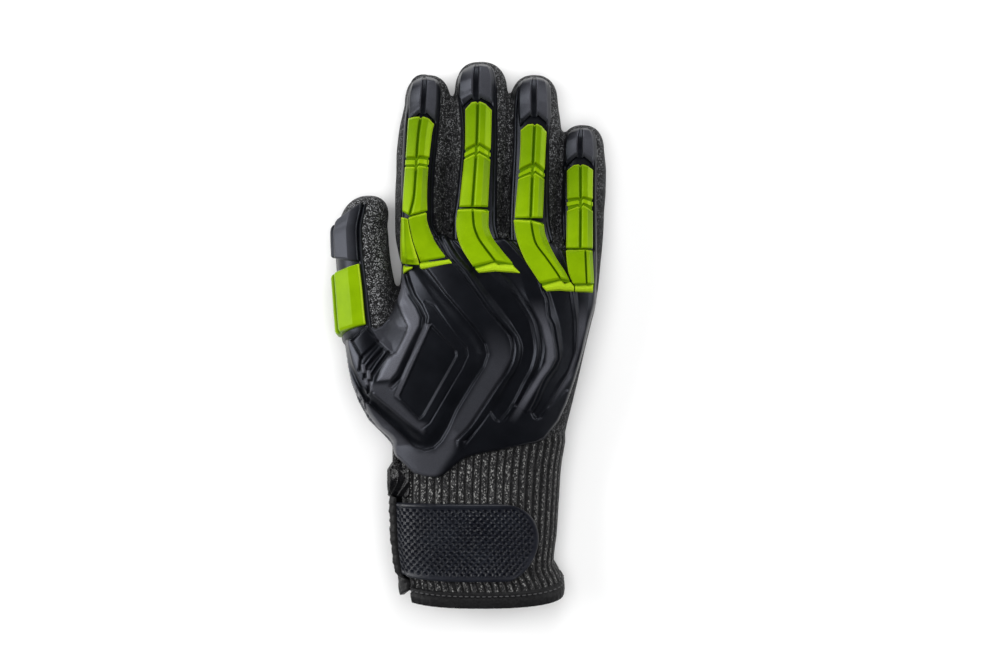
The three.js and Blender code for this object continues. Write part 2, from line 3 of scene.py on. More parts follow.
import bmesh
import bpy
import numpy as np
import mathutils.geometry
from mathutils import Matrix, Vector


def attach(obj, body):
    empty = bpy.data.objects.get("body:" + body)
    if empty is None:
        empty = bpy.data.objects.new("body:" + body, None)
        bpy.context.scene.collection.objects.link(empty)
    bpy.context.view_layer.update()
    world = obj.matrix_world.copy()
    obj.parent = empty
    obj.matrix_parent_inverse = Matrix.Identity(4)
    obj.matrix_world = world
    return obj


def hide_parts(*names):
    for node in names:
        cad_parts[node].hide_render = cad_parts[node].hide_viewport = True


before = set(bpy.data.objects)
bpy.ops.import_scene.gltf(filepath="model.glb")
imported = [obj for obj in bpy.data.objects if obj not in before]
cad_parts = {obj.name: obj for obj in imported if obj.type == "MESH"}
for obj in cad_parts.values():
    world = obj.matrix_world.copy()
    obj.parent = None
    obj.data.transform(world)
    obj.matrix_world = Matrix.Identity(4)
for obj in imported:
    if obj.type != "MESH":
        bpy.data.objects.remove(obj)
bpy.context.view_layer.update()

# Impact glove, right hand, palm down: fingertips along +Y, thumb toward -X, back of the hand up.
# Lengths are in millimetres until a mesh is made. Shares are of the glove's width, length and depth.
GLOVE_LENGTH = 260.0
GLOVE_WIDTH = 131.0
HAND_DEPTH = 34.0
KNIT_WALL = 1.8
RAIL_THICKNESS = 1.9
PLATE_THICKNESS = 1.9
CAP_HEIGHT = 2.2
PAD_HEIGHT = 3.0
STRAP_THICKNESS = 2.2
BINDING_THICKNESS = 1.2
HEM_SLANT = 0.042 * GLOVE_LENGTH
TIP_ROUNDNESS = 2.3
METRE = 0.001

# The photograph's chart: pixels of the 1000 x 667 frame to millimetres on the floor.
PHOTO_CENTRE_X = 467.5
PHOTO_CENTRE_Y = 332.5
PHOTO_GLOVE_LENGTH = 547.0
PIXEL = GLOVE_LENGTH / PHOTO_GLOVE_LENGTH

# Rows: y, left edge, right edge, underside, top.
LIMBS = {
    "palm": {
        "mid": 0.42, "over": 2.4, "under": 4.0, "tip": None,
        "rows": [
            (-0.494, -0.235, 0.342, 0.05, 0.84),
            (-0.467, -0.237, 0.331, 0.045, 0.83),
            (-0.438, -0.253, 0.307, 0.01, 0.82),
            (-0.379, -0.267, 0.318, -0.04, 0.83),
            (-0.315, -0.271, 0.325, -0.05, 0.85),
            (-0.251, -0.271, 0.333, -0.05, 0.88),
            (-0.206, -0.271, 0.347, -0.05, 0.93),
            (-0.169, -0.333, 0.362, -0.05, 0.96),
            (-0.133, -0.38, 0.38, -0.05, 0.98),
            (-0.087, -0.402, 0.402, -0.05, 1.0),
            (-0.032, -0.384, 0.427, -0.05, 1.0),
            (0.014, -0.318, 0.449, -0.05, 1.0),
            (0.05, -0.267, 0.467, -0.05, 0.99),
            (0.087, -0.242, 0.475, -0.04, 0.97),
            (0.129, -0.238, 0.482, 0.0, 0.93),
            (0.155, -0.231, 0.44, 0.03, 0.87),
            (0.172, -0.215, 0.4, 0.07, 0.79),
            (0.184, -0.18, 0.35, 0.16, 0.65),
        ],
    },
    "index": {
        "mid": 0.48, "over": 2.2, "under": 2.6, "tip": 0.468,
        "rows": [
            (0.129, -0.245, -0.078, 0.1, 0.86),
            (0.187, -0.264, -0.08, 0.13, 0.82),
            (0.242, -0.264, -0.075, 0.15, 0.79),
            (0.315, -0.256, -0.07, 0.13, 0.74),
            (0.37, -0.245, -0.067, 0.08, 0.68),
            (0.418, -0.225, -0.067, 0.03, 0.6),
        ],
    },
    "middle": {
        "mid": 0.48, "over": 2.2, "under": 2.6, "tip": 0.492,
        "rows": [
            (0.129, -0.067, 0.133, 0.1, 0.9),
            (0.187, -0.071, 0.127, 0.14, 0.85),
            (0.261, -0.064, 0.136, 0.16, 0.82),
            (0.334, -0.058, 0.145, 0.14, 0.77),
            (0.388, -0.056, 0.147, 0.09, 0.71),
            (0.44, -0.042, 0.14, 0.03, 0.62),
        ],
    },
    "ring": {
        "mid": 0.48, "over": 2.2, "under": 2.6, "tip": 0.468,
        "rows": [
            (0.114, 0.14, 0.322, 0.1, 0.88),
            (0.169, 0.136, 0.322, 0.13, 0.83),
            (0.242, 0.144, 0.327, 0.15, 0.79),
            (0.315, 0.153, 0.333, 0.13, 0.74),
            (0.37, 0.156, 0.336, 0.08, 0.68),
            (0.421, 0.162, 0.324, 0.03, 0.6),
        ],
    },
    "little": {
        "mid": 0.48, "over": 2.2, "under": 2.6, "tip": 0.376,
        "rows": [
            (0.078, 0.329, 0.475, 0.08, 0.8),
            (0.129, 0.331, 0.485, 0.11, 0.76),
            (0.197, 0.333, 0.496, 0.13, 0.73),
            (0.261, 0.34, 0.498, 0.11, 0.69),
            (0.297, 0.344, 0.5, 0.08, 0.64),
            (0.334, 0.345, 0.493, 0.04, 0.57),
        ],
    },
    "thumb": {
        "mid": 0.46, "over": 2.2, "under": 2.6, "tip": 0.246, "tip_shift": 3.0,
        "rows": [
            (-0.16, -0.333, -0.1, 0.02, 0.86),
            (-0.096, -0.42, -0.173, 0.02, 0.84),
            (-0.032, -0.443, -0.216, 0.02, 0.8),
            (0.023, -0.452, -0.253, 0.03, 0.77),
            (0.078, -0.46, -0.267, 0.04, 0.75),
            (0.142, -0.469, -0.289, 0.05, 0.72),
            (0.184, -0.472, -0.296, 0.05, 0.66),
            (0.198, -0.467, -0.299, 0.05, 0.63),
        ],
    },
}
PALM = LIMBS["palm"]

# Finger guards, all in pixels of the photograph. Rows of rails and caps: y, left edge, right edge.
# Rows of a pad: y, left edge, groove, right edge. Ends: y at the left, centre and right.
# Lower end of a cap: y at the sides, at the two peaks and in the middle.
FINGERS = {
    "index": {
        "rail": [
            (72.8, 421.5, 424), (73.3, 419, 427), (74.4, 416, 431), (76.5, 413.2, 435), (79.5, 411, 438),
            (84, 409.2, 439.8), (90, 408, 440.8),
            (106, 405.5, 440.8), (136, 403, 438.4), (197, 401, 434), (222, 401, 434), (243, 401, 444),
        ],
        "cap": [
            (74, 421, 424.4), (74.6, 419, 427), (75.8, 416.6, 430.6), (78, 414, 434.6), (81, 412.4, 437),
            (86, 410.6, 438.6), (92, 409.6, 439),
            (106, 408.5, 438.5), (126, 408.5, 436),
        ],
        "cap_end": (124.5, 112, 114.5),
        "pad": [
            (109, 409, 422.5, 439), (136, 407.5, 418.5, 432), (197, 403.5, 414.5, 427.4),
            (217, 402.5, 409.5, 428),
        ],
        "distal": ((119, 117.5, 125), (158.5, 158.5, 158.5)),
        "link": ((160.8, 160.8, 160.8), (165.6, 165.6, 165.6)),
        "proximal": ((168, 168, 168), (212, 216.5, 211.5)),
    },
    "middle": {
        "rail": [
            (60.4, 476, 480), (60.9, 473, 483.4), (62, 469, 487), (64.2, 465, 490.4), (67.5, 461.6, 492.8),
            (72.5, 458.6, 495.2), (80, 456.8, 496.5),
            (95, 457.5, 497.5), (136, 461, 497.8), (197, 456.5, 497), (222, 453, 497), (243, 453, 502),
        ],
        "cap": [
            (61.8, 475.6, 480), (62.4, 472.4, 483.2), (63.8, 468, 486.8), (66.4, 464.4, 489.6),
            (71, 461, 492.2), (80, 458.3, 494),
            (95, 458, 494), (108, 463.5, 493.5),
        ],
        "cap_end": (107, 96.3, 100.6),
        "pad": [(96, 465.5, 478, 492), (136, 465.5, 477, 491.2), (208, 459.5, 472.5, 488)],
        "distal": ((110, 102.5, 111), (151, 146, 151)),
        "link": ((154, 148, 154), (157.8, 153.2, 157.8)),
        "proximal": ((160.5, 155.4, 160.5), (208, 208, 208)),
    },
    "ring": {
        "rail": [
            (73.6, 533, 536), (74.2, 530, 540), (75.4, 526, 544), (77.6, 522, 547), (81, 518.8, 549.2),
            (86, 516.6, 550.8), (95, 514.5, 551.5),
            (110, 513.3, 551.5), (136, 513, 549.5), (197, 510, 549), (222, 509, 550), (246, 509, 556),
        ],
        "cap": [
            (75, 532.6, 536), (75.6, 530, 539.6), (77, 526, 543.4), (79.4, 522.6, 546), (84, 519.8, 548.2),
            (95, 518, 549.8),
            (110, 518, 550), (128, 520, 548.6),
        ],
        "cap_end": (126.8, 113.6, 117.6),
        "pad": [(121, 520.5, 534.8, 547.6), (136, 520.6, 534, 546.2), (219, 514.5, 530.5, 542.5)],
        "distal": ((131, 124.7, 133), (171, 165, 171)),
        "link": ((174.4, 168.2, 174.4), (177.8, 172.8, 177.8)),
        "proximal": ((180, 175.2, 180), (219, 219, 219)),
    },
    "little": {
        "rail": [
            (125.6, 580, 583.6), (126.2, 577, 587), (127.4, 573, 590), (129.6, 569.4, 592.8),
            (133, 566, 595),
            (138, 563.6, 596.4), (146, 562.4, 597.2),
            (160, 562, 597), (197, 561, 596.4), (252, 562, 597),
        ],
        "cap": [
            (127, 579.6, 583.2), (127.6, 577, 586.4), (129, 573, 589.6), (131.4, 569.8, 592),
            (137, 566.2, 594.4),
            (150, 564, 596),
            (168, 566.5, 593),
        ],
        "cap_end": (166.5, 155, 158.2),
        "pad": [(158, 567, 580.2, 593), (200, 566.8, 580.2, 592.3), (249, 565.8, 579.8, 592.3)],
        "distal": ((171, 165, 170.5), (200, 199, 200)),
        "link": ((202.6, 200.6, 202.6), (206.8, 204.6, 206.8)),
        "proximal": ((211.5, 207, 211.5), (249, 249, 249)),
    },
}

# Knuckle pads. Rows: y, left edge, groove, right edge, in pixels.
KNUCKLES = {
    "index": [
        (213, 408.8, 413, 427), (219, 409, 413.2, 427.2), (225, 410, 414.5, 428.4),
        (240, 413.2, 417.8, 434.6),
        (250, 416.3, 421, 441.2), (256.5, 418.8, 424, 446.2), (263, 421, 426.5, 450),
    ],
    "middle": [
        (210, 458, 472.5, 489), (225, 456.3, 473.8, 488.5), (237, 457.8, 477.6, 492),
        (249, 462, 485.4, 500.4),
        (256, 466, 490.8, 506), (262, 470, 495.2, 511.4), (267, 473.4, 499, 515.4),
    ],
    "ring": [
        (220, 513.5, 530.6, 543.2), (232, 515, 532.2, 544.4), (243, 517.6, 535, 548), (259, 524, 546.3, 556),
        (272, 531.5, 555.6, 564.6), (279, 536.4, 560, 568.4), (284, 540, 563, 571),
    ],
    "little": [
        (250, 565.5, 585, 592), (262, 566.4, 585.4, 592.6), (273, 568, 585.8, 593.2),
        (285, 573, 586.2, 593.8),
    ],
}
INDEX_KNUCKLE_PROFILE = [
    (-1, 0.5), (-0.9, 0.95), (-0.5, 1.0), (0.0, 0.95), (0.55, 0.88), (0.92, 0.78), (1, 0.45),
]
# Foot of that fin. Rows: x, upper y, lower y.
FIN_FOOT = [(400.9, 264.6, 276.4), (404, 265.6, 274), (408, 266.6, 271.4), (413, 267, 269)]
KNUCKLE_PROFILE = [
    (-1, 0.5), (-0.94, 0.8), (-0.5, 0.95), (-0.08, 1.0), (-0.02, 0.55), (0.03, 0.55), (0.12, 1.0),
    (0.55, 0.9),
    (0.64, 0.76), (0.94, 0.5), (1, 0.3),
]
FIN_PROFILE = [(-1, 0.3), (-0.6, 0.8), (0, 0.9), (0.12, 0.76), (0.6, 0.62), (1, 0.5)]
# Ends of the knuckle pads: y at the left, centre and right of the upper and lower end; profile across.
KNUCKLE_ENDS = {
    "index": ((219, 217.2, 213.6), (262.6, 261.6, 258), INDEX_KNUCKLE_PROFILE),
    "middle": ((210.6, 210.2, 211.6), (267.4, 262, 265), KNUCKLE_PROFILE),
    "ring": ((220.6, 221.6, 225), (284.2, 279.8, 281), KNUCKLE_PROFILE),
    "little": ((251, 250.6, 251.4), (284.6, 284.4, 283.8), KNUCKLE_PROFILE),
}
# Fin beside the index knuckle. Rows: y, left edge, crest, right edge.
INDEX_FIN = [
    (217, 401.6, 404.5, 408), (225, 401.4, 404.8, 409.2), (240, 401, 405.2, 412.4),
    (250, 400.9, 405.6, 415.4),
    (262, 400.8, 406, 419.2), (268, 400.8, 406, 420.4),
]
# Low bars under the knuckle pads. Rows: x, upper y, lower y.
BARS = {
    "index": [
        (420.4, 263.6, 268.4), (422.6, 262.9, 269.8), (430, 262.3, 268.6), (449.5, 259.6, 265),
        (452.2, 263, 264.4),
    ],
    "middle": [
        (475.8, 269.2, 270.4), (479, 268.2, 273.6), (492.6, 263.6, 272.4), (495.4, 263.4, 272.2),
        (498.4, 265.4, 272.2), (505, 265, 272.8), (513, 266, 273.4), (519.6, 273, 274),
    ],
    "ring": [
        (542, 286.4, 287.4), (545.8, 285.2, 291.8), (558.6, 281.2, 291), (561, 281.4, 291.2),
        (564, 284.2, 291.4),
        (570, 282.6, 291.8), (573.4, 286.4, 292),
    ],
    "little": [(574.4, 286.2, 292.2), (585, 285.4, 292.6), (586.6, 286, 292.6), (592.6, 284.6, 293)],
}
# Thumb guard, rolled toward the thumb's side. Ends: y at its outer and inner edge, in pixels.
THUMB = {
    "roll": 140.0, "rail_half": 52.0, "pad_half": 43.0,
    "rail": ((345, 333), (227, 202.5)),
    "cap": ((257, 262), (231, 205)),
    "pad": ((337.5, 324.5), (277, 264)),
}
THUMB_ROOF = [
    (-1, 0.35), (-0.93, 0.62), (-0.6, 1), (-0.5, 0.96), (-0.42, 0.5), (-0.3, 0.5), (-0.22, 0.96), (-0.12, 1),
    (0.55, 0.8), (0.93, 0.62), (1, 0.35),
]
THUMB_RAIL_ROOF = [
    (-1, 0.3), (-0.95, 1.5), (-0.9, 1.85), (-0.84, 1.3), (-0.56, 1.3), (-0.28, 1.3), (0, 1.3), (0.28, 1.3),
    (0.56, 1.3), (0.84, 1.25), (0.9, 1.85), (0.95, 1.5), (1, 0.3),
]

# Lines that run down the back plate right of its crease, from the crease to its edge, in groups.
# A group lists the name and height in millimetres of each line, then rows of y and the x of each line, in pixels.
PLATE_LINES = [
    ([("slab", 1.75)], [
        (233, 418), (270, 429), (294.5, 449), (313, 465), (331, 479), (344, 487.5), (354, 490), (366, 486),
        (381, 476), (409, 459), (427, 450), (445, 437),
    ]),
    ([("groove_left", 2.35), ("groove", 1.1), ("lip", 2.3), ("seam", 1.9)], [
        (233, 434, 436.5, 440, 443), (241, 438, 440.5, 444, 447), (257, 447, 449, 452.5, 456),
        (271, 459, 461, 464.5, 468), (293, 475, 476.3, 479.5, 483), (311, 487, 489, 492.5, 496),
        (326, 500, 502, 505.5, 509), (338, 509, 511, 514.5, 518), (348, 511, 513, 516.5, 520),
        (359, 509.5, 511.5, 515, 518.5), (371, 504, 506, 509.5, 513), (381, 497, 499, 502.5, 506),
        (406, 480.5, 482.5, 486, 489.5), (425.5, 467, 469, 472.5, 476), (439, 454, 456, 459.5, 463),
    ]),
    ([("channel_a_left", 0.2)], [
        (233, 446), (241, 450), (257, 460), (271, 472), (293, 488), (300, 494), (325, 512.5), (349, 522.5),
        (365, 519), (382, 509), (407, 496), (425.5, 482), (439, 468),
    ]),
    ([("channel_a_right", 0.2)], [
        (240, 452), (257, 470), (271, 486), (293, 510), (300, 516.5), (325, 529.5), (349, 533), (365, 530),
        (382, 521.7), (407, 508.5), (425.5, 492), (439, 476),
    ]),
    ([("ridge_a", 1.8), ("valley_a", 0.4)], [
        (240, 455, 458), (257, 474, 480), (278, 502.8, 508), (300, 519.5, 524), (325, 533, 537),
        (349, 537, 541), (365, 534, 538), (382, 525.5, 528.5), (407, 512, 514.5), (425.5, 497, 500),
        (439, 480, 484),
    ]),
    ([("band_left", 1.8)], [
        (240, 500), (257, 510), (275, 520), (300, 528), (325, 540.5), (349, 545), (365, 541.7), (382, 531.5),
        (407, 517), (425.5, 503), (439, 490),
    ]),
    ([("band_right", 2.4), ("edge_e", 1.2), ("edge_e_crest", 1.9)], [
        (240, 505, 507, 508), (257, 520, 523, 524.5), (275, 534, 538, 539.5), (292, 541, 543.5, 545.3),
        (300, 544.5, 546.8, 548.6), (316, 546, 548.4, 550.2), (325, 550, 552.4, 554.6),
        (338, 552.3, 554.8, 557), (357, 555, 557.4, 559.4), (365, 552, 554.4, 556.4),
        (379, 542.4, 544.8, 546.6), (407, 529.5, 532, 533.8), (422, 515.9, 518.4, 520.4),
        (439, 500, 503, 504.5),
    ]),
    ([("channel_b_left", 0.2), ("channel_b_right", 0.2), ("ridge_b", 1.7), ("valley_b", 0.5)], [
        (240, 510, 553, 556, 559), (257, 527, 560, 563, 566), (275, 542, 566, 569, 572),
        (300, 551.5, 570, 573, 577), (325, 559, 573, 576, 578.6), (349, 562, 573, 575.5, 577.8),
        (365, 559, 569, 571.6, 573.8), (382, 548.5, 558, 561.2, 563.4), (407, 536.5, 543, 545.8, 548),
        (422, 525, 530, 534, 538), (439, 508, 512, 516, 520),
    ]),
    ([("rim", 1.5)], [
        (240, 590), (275, 590), (303, 588), (325, 583.5), (349, 580.5), (365, 576), (382, 567), (407, 552),
        (422, 541), (439, 523),
    ]),
]
# Plain lower part of the plate, where the channels and ridges have run out, in pixels.
LOWER_PLATE = [
    (463, 446), (467, 441), (472, 435), (480, 425), (487, 415.5), (490.5, 410.5), (492.5, 414.2),
    (495.5, 418.6),
    (500, 420.8), (504.5, 419), (507.8, 414.6), (509.8, 408), (512, 404.5), (516, 405), (521, 408),
    (526, 411),
    (530, 408), (531.6, 412), (534, 416.4), (537.6, 418.6), (541.2, 417), (544, 412.6), (546.6, 408),
    (551, 404), (557, 398), (566, 390), (604, 390), (604, 484), (436, 484), (452, 462), (459, 450),
]
PLATE_LOW = 1.75
# Raised block with the label recess and the saddle, bounded by the crease, in pixels.
PLATE_BLOCK = [
    (425, 268), (445, 294.5), (461, 313), (476, 331), (484.5, 344), (487, 354), (483, 366), (473, 381),
    (456, 409),
    (448, 427), (441, 439), (434, 446), (425, 448.5), (416, 445.5), (398, 428), (380, 411.5), (366, 399),
    (352, 399), (320, 380), (320, 240), (400, 240), (416, 258),
]
LABEL_RECESS = [
    (431.5, 324), (456.5, 350), (457.5, 356), (424, 415.5), (419.5, 418.5), (400.5, 398.5), (400, 394.5),
]
LABEL_BEVEL = [(425, 323), (431.5, 324), (400, 394.5), (400.5, 398.5), (394.5, 395.5)]
SADDLE_RIM = [
    (401.6, 279.6), (407.9, 295.7), (415.9, 308.2), (420.4, 318), (419.5, 326), (411.4, 342), (402.5, 361),
    (397, 372.5), (391, 379.6), (378, 381), (382, 370), (388, 358), (392.7, 354.6), (397, 352), (401.6, 343),
    (407, 331.4), (407.9, 326), (402.5, 315.4), (398, 303), (395, 288),
]
WEB_DISH = [
    (396, 299), (402.5, 315.4), (407.9, 326), (407, 331.4), (401.6, 343), (397, 352), (392.7, 354.6),
    (386, 349),
    (378.4, 342), (370, 326), (376, 326), (386, 318), (392, 306),
]
# Grooves, negative, and ridges, positive: how deep in millimetres, half width and points in pixels.
PLATE_STROKES = [
    (-0.35, 1.3, [
        (426, 302), (435, 306), (453.6, 332.5), (466.5, 347), (468, 355), (462, 368), (430, 422), (422, 428),
    ]),
    (-1.2, 3.4, [
        (405, 270), (408.5, 282), (414, 296), (421, 306), (426, 317), (424.5, 328), (416, 346), (407, 364),
        (401, 378),
        (392, 387),
    ]),
    (-1.3, 3.4, [(344, 336), (346, 346), (350.5, 364), (357, 380), (363, 391), (368, 400)]),
    (-1.0, 1.7, [(360, 370), (361.4, 358.2), (370, 350), (379, 341)]),
    (-1.0, 1.7, [(365.2, 379), (367, 368), (375, 358.5), (383.5, 349.6)]),
    (-1.0, 1.9, [(369, 393), (371, 385), (373, 375.2), (381, 363.5), (389, 352.5)]),
    (-0.35, 0.8, [(365, 364), (372, 355), (379.5, 346.5)]),
    (-0.35, 0.8, [(370, 373), (377, 362), (385, 351.5)]),
    (-0.9, 1.4, [(363, 358), (352.5, 341), (366.5, 327), (377, 340)]),
    (0.7, 1.4, [(340, 339), (353, 338.4), (366.5, 326)]),
    (-0.9, 1.1, [(357.5, 389), (359.6, 407)]),
    (-0.9, 1.1, [(361.2, 396), (364, 414.6)]),
    (-0.9, 1.1, [(365.6, 401), (368, 422)]),
    (-0.8, 1.6, [(369, 324), (379, 341.5), (393, 355.5)]),
    (0.35, 2.0, [(375, 393.5), (392, 407), (412, 424), (426, 432)]),
    (0.7, 2.0, [(363, 365), (364.6, 372)]),
    (0.7, 2.0, [(368.6, 371), (369.6, 378)]),
    (0.6, 1.8, [(365.6, 379), (368, 384)]),
    (0.6, 1.8, [(371.6, 382), (372, 390)]),
]
# Outline of the back plate in pixels, clockwise from the top left corner.
PLATE_OUTLINE = [
    (401, 238), (436, 236), (441, 233.5), (446, 234.5), (452, 239), (497, 239), (503, 238), (509, 240),
    (553, 243),
    (562, 250), (597, 250), (596.5, 303), (590, 325), (584, 350), (578, 370), (574.8, 380.5), (566.8, 403.5),
    (558.7, 420.7), (549.5, 432), (545, 438), (537, 442), (517, 446), (498.5, 450), (481, 453), (466, 457),
    (457, 463.5), (445, 474), (437, 477), (426, 476), (414, 473), (403, 463), (395.5, 456), (389, 443),
    (377, 430.5),
    (367.5, 421), (357, 402), (350.5, 384), (346.5, 364), (342.5, 340), (353, 337.2), (366, 325.6),
    (370, 323),
    (372.5, 327), (376, 328.5), (382, 326), (388, 319), (392.5, 311), (395.5, 301), (398, 290), (400.5, 272),
]

# Cuff. Angles in degrees around the cuff, y in shares of the length.
SLIT = {"front": 147.0, "rear": 190.0, "head": -0.242}
STRAP = {"low": -0.451, "high": -0.311, "step": 141.0, "start": 157.0, "end": 46.0, "round": 32.0}
FLAP = {"front": 151.0, "foot": -0.496, "head": -0.292, "point": 0.022}
HEM = {"low": -0.494, "high": -0.4715}
RIB_PITCH = 3.55
RIB_HEIGHT = 0.95


def ease(t):
    t = np.clip(t, 0, 1)
    return t * t * (3 - 2 * t)


def chart_x(px):
    return (np.asarray(px, float) - PHOTO_CENTRE_X) * PIXEL


def chart_y(py):
    return (PHOTO_CENTRE_Y - np.asarray(py, float)) * PIXEL


def smooth_table(rows, at):
    """Monotone cubic through a table whose first column is the key."""
    rows = np.asarray(rows, float)
    key, value = rows[:, 0], rows[:, 1:]
    step = np.diff(key)
    slope = np.diff(value, axis=0) / step[:, None]
    tangent = np.zeros_like(value)
    product = slope[:-1] * slope[1:]
    total = slope[:-1] + slope[1:]
    tangent[1:-1] = np.where(product > 0, 2 * product / np.where(total == 0, 1, total), 0)
    tangent[0], tangent[-1] = slope[0], slope[-1]
    at = np.clip(np.asarray(at, float), key[0], key[-1])
    k = np.clip(np.searchsorted(key, at, side="right") - 1, 0, len(step) - 1)
    t = ((at - key[k]) / step[k])[..., None]
    h = step[k][..., None]
    return (
        (2 * t**3 - 3 * t**2 + 1) * value[k]
        + (t**3 - 2 * t**2 + t) * h * tangent[k]
        + (3 * t**2 - 2 * t**3) * value[k + 1]
        + (t**3 - t**2) * h * tangent[k + 1]
    )


def section(limb, y, d):
    """Section of a limb at share y, grown by d: centre x, centre z, half width, up, down, length along Y."""
    y = np.asarray(y, float)
    last = limb["rows"][-1][0]
    row = smooth_table(limb["rows"], y)
    left, right, bottom, top = (row[..., k] for k in range(4))
    centre_z = (bottom + (top - bottom) * limb["mid"]) * HAND_DEPTH
    length = y * GLOVE_LENGTH
    grow, shift = np.ones_like(y), 0.0
    if limb["tip"]:
        t = np.clip((y - last) / (limb["tip"] - last), 0, 1)
        grow = (1 - t**TIP_ROUNDNESS) ** (1 / TIP_ROUNDNESS)
        length = np.where(t > 0, length + t * d, length)
        shift = limb.get("tip_shift", 0.0) * t
    half = ((right - left) / 2 * GLOVE_WIDTH + d) * grow
    up = (top * HAND_DEPTH - centre_z + d) * grow
    down = (centre_z - bottom * HAND_DEPTH + d) * grow
    return (left + right) / 2 * GLOVE_WIDTH + shift, centre_z, half, up, down, length


def lean(limb, y, z):
    if limb is not PALM:
        return 0.0
    amount = np.clip((-0.3 - y) / 0.17, 0, 1)
    return HEM_SLANT * amount * (1 - z / (0.84 * HAND_DEPTH))


def place(limb, y, degrees, d):
    """Point of a limb's surface grown by d, at share y and an angle from +X toward +Z."""
    y, degrees, d = np.broadcast_arrays(*(np.asarray(values, float) for values in (y, degrees, d)))
    centre_x, centre_z, half, up, down, length = section(limb, y, d)
    across, rise = np.cos(np.radians(degrees)), np.sin(np.radians(degrees))
    power = np.where(rise > 0, 2 / limb["over"], 2 / limb["under"])
    x = centre_x + half * np.sign(across) * np.abs(across) ** power
    z = centre_z + np.where(rise > 0, up, down) * np.sign(rise) * np.abs(rise) ** power
    z = np.maximum(z, np.where(d < 0, -d, 0.0))
    return np.stack([x, length + lean(limb, y, z), z], axis=-1)


SOFT_STEP = 0.8
LIMB_FADE = 0.06


def dorsal(x, y):
    """Height of the back of the glove above the floor at a place on the chart, in millimetres."""
    x, y = np.broadcast_arrays(np.asarray(x, float), np.asarray(y, float))
    total = np.zeros_like(x)
    for limb in LIMBS.values():
        share = y / GLOVE_LENGTH
        centre_x, centre_z, half, up, _, _ = section(limb, share, 0.0)
        u = np.abs(x - centre_x) / np.maximum(half, 1e-6)
        inside = (u < 1) & (share >= limb["rows"][0][0]) & (share <= (limb["tip"] or limb["rows"][-1][0]))
        rise = centre_z + up * np.maximum(1 - u ** limb["over"], 0) ** (1 / limb["over"])
        fade = ease((share - limb["rows"][0][0]) / LIMB_FADE) if limb is not PALM else 1.0
        total += np.where(inside, fade * np.exp(rise / SOFT_STEP), 0)
    return SOFT_STEP * np.log(np.maximum(total, np.exp(4 / SOFT_STEP)))


NORMAL_STEP = 0.6
LEAST_UPRIGHT = 0.55


def over_back(x, y, offset):
    """Points at chart x and y, standing off the back of the glove by offset."""
    x, y, offset = np.broadcast_arrays(np.asarray(x, float), np.asarray(y, float), np.asarray(offset, float))
    slope_x = (dorsal(x + NORMAL_STEP, y) - dorsal(x - NORMAL_STEP, y)) / (2 * NORMAL_STEP)
    slope_y = (dorsal(x, y + NORMAL_STEP) - dorsal(x, y - NORMAL_STEP)) / (2 * NORMAL_STEP)
    upright = np.maximum(1 / np.sqrt(1 + slope_x**2 + slope_y**2), LEAST_UPRIGHT)
    return np.stack([x, y, dorsal(x, y) + offset / upright], axis=-1)


# Meshes


def mesh_piece(name, points, faces, material, slot, replaced=(), smooth_angle=30.0):
    mesh = bpy.data.meshes.new(name)
    mesh.from_pydata((np.asarray(points) * METRE).tolist(), [], [tuple(f) for f in faces])
    mesh.validate()
    piece = bpy.data.objects.new(name, mesh)
    bpy.context.scene.collection.objects.link(piece)
    return dress(piece, material, replaced, smooth_angle)


def dress(piece, material, replaced=(), smooth_angle=30.0):
    mesh = piece.data
    mesh.materials.clear()
    mesh.materials.append(material)
    mesh.shade_smooth()
    if smooth_angle:
        mesh.set_sharp_from_angle(angle=math.radians(smooth_angle))
    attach(piece, "root")
    if replaced:
        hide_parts(*replaced)
    return piece


def give_attribute(piece, name, values):
    made = piece.data.attributes.new(name, "FLOAT", "POINT")
    made.data.foreach_set("value", np.asarray(values, float).ravel())


def grid_shell(low, high):
    """Closed shell between two grids of points with the same rows and columns."""
    rows, columns = low.shape[:2]
    index = np.arange(rows * columns).reshape(rows, columns)
    below, above = index, index + rows * columns
    faces = []

    def quads(a, b, c, d):
        faces.append(np.stack([a.ravel(), b.ravel(), c.ravel(), d.ravel()], axis=1))

    quads(above[:-1, :-1], above[:-1, 1:], above[1:, 1:], above[1:, :-1])
    quads(below[:-1, :-1], below[1:, :-1], below[1:, 1:], below[:-1, 1:])
    quads(below[:-1, 0], above[:-1, 0], above[1:, 0], below[1:, 0])
    quads(below[:-1, -1], below[1:, -1], above[1:, -1], above[:-1, -1])
    quads(below[0, :-1], below[0, 1:], above[0, 1:], above[0, :-1])
    quads(below[-1, :-1], above[-1, :-1], above[-1, 1:], below[-1, 1:])
    points = np.concatenate([low.reshape(-1, 3), high.reshape(-1, 3)])
    return points, outward(points, np.concatenate(faces))


def outward(points, faces):
    """Faces turned round where their shell's volume comes out negative."""
    a, b, c, d = (points[faces[:, k]] for k in range(4))
    volume = np.einsum("ij,ij->i", a, np.cross(b, c)).sum() + np.einsum("ij,ij->i", a, np.cross(c, d)).sum()
    return faces if volume > 0 else faces[:, ::-1]


def bevelled(piece, width, segments=2, angle=25.0):
    bevel = piece.modifiers.new("rounded_edges", "BEVEL")
    bevel.width = width * METRE
    bevel.segments = segments
    bevel.limit_method = "ANGLE"
    bevel.angle_limit = math.radians(angle)
    bevel.harden_normals = False
    return piece


# Materials


def new_material(name):
    material = bpy.data.materials.new(name)
    material.use_nodes = True
    tree = material.node_tree
    shader = next(n for n in tree.nodes if n.type == "BSDF_PRINCIPLED")
    return material, tree, shader


def node(tree, kind, **settings):
    made = tree.nodes.new(kind)
    for key, value in settings.items():
        setattr(made, key, value)
    return made


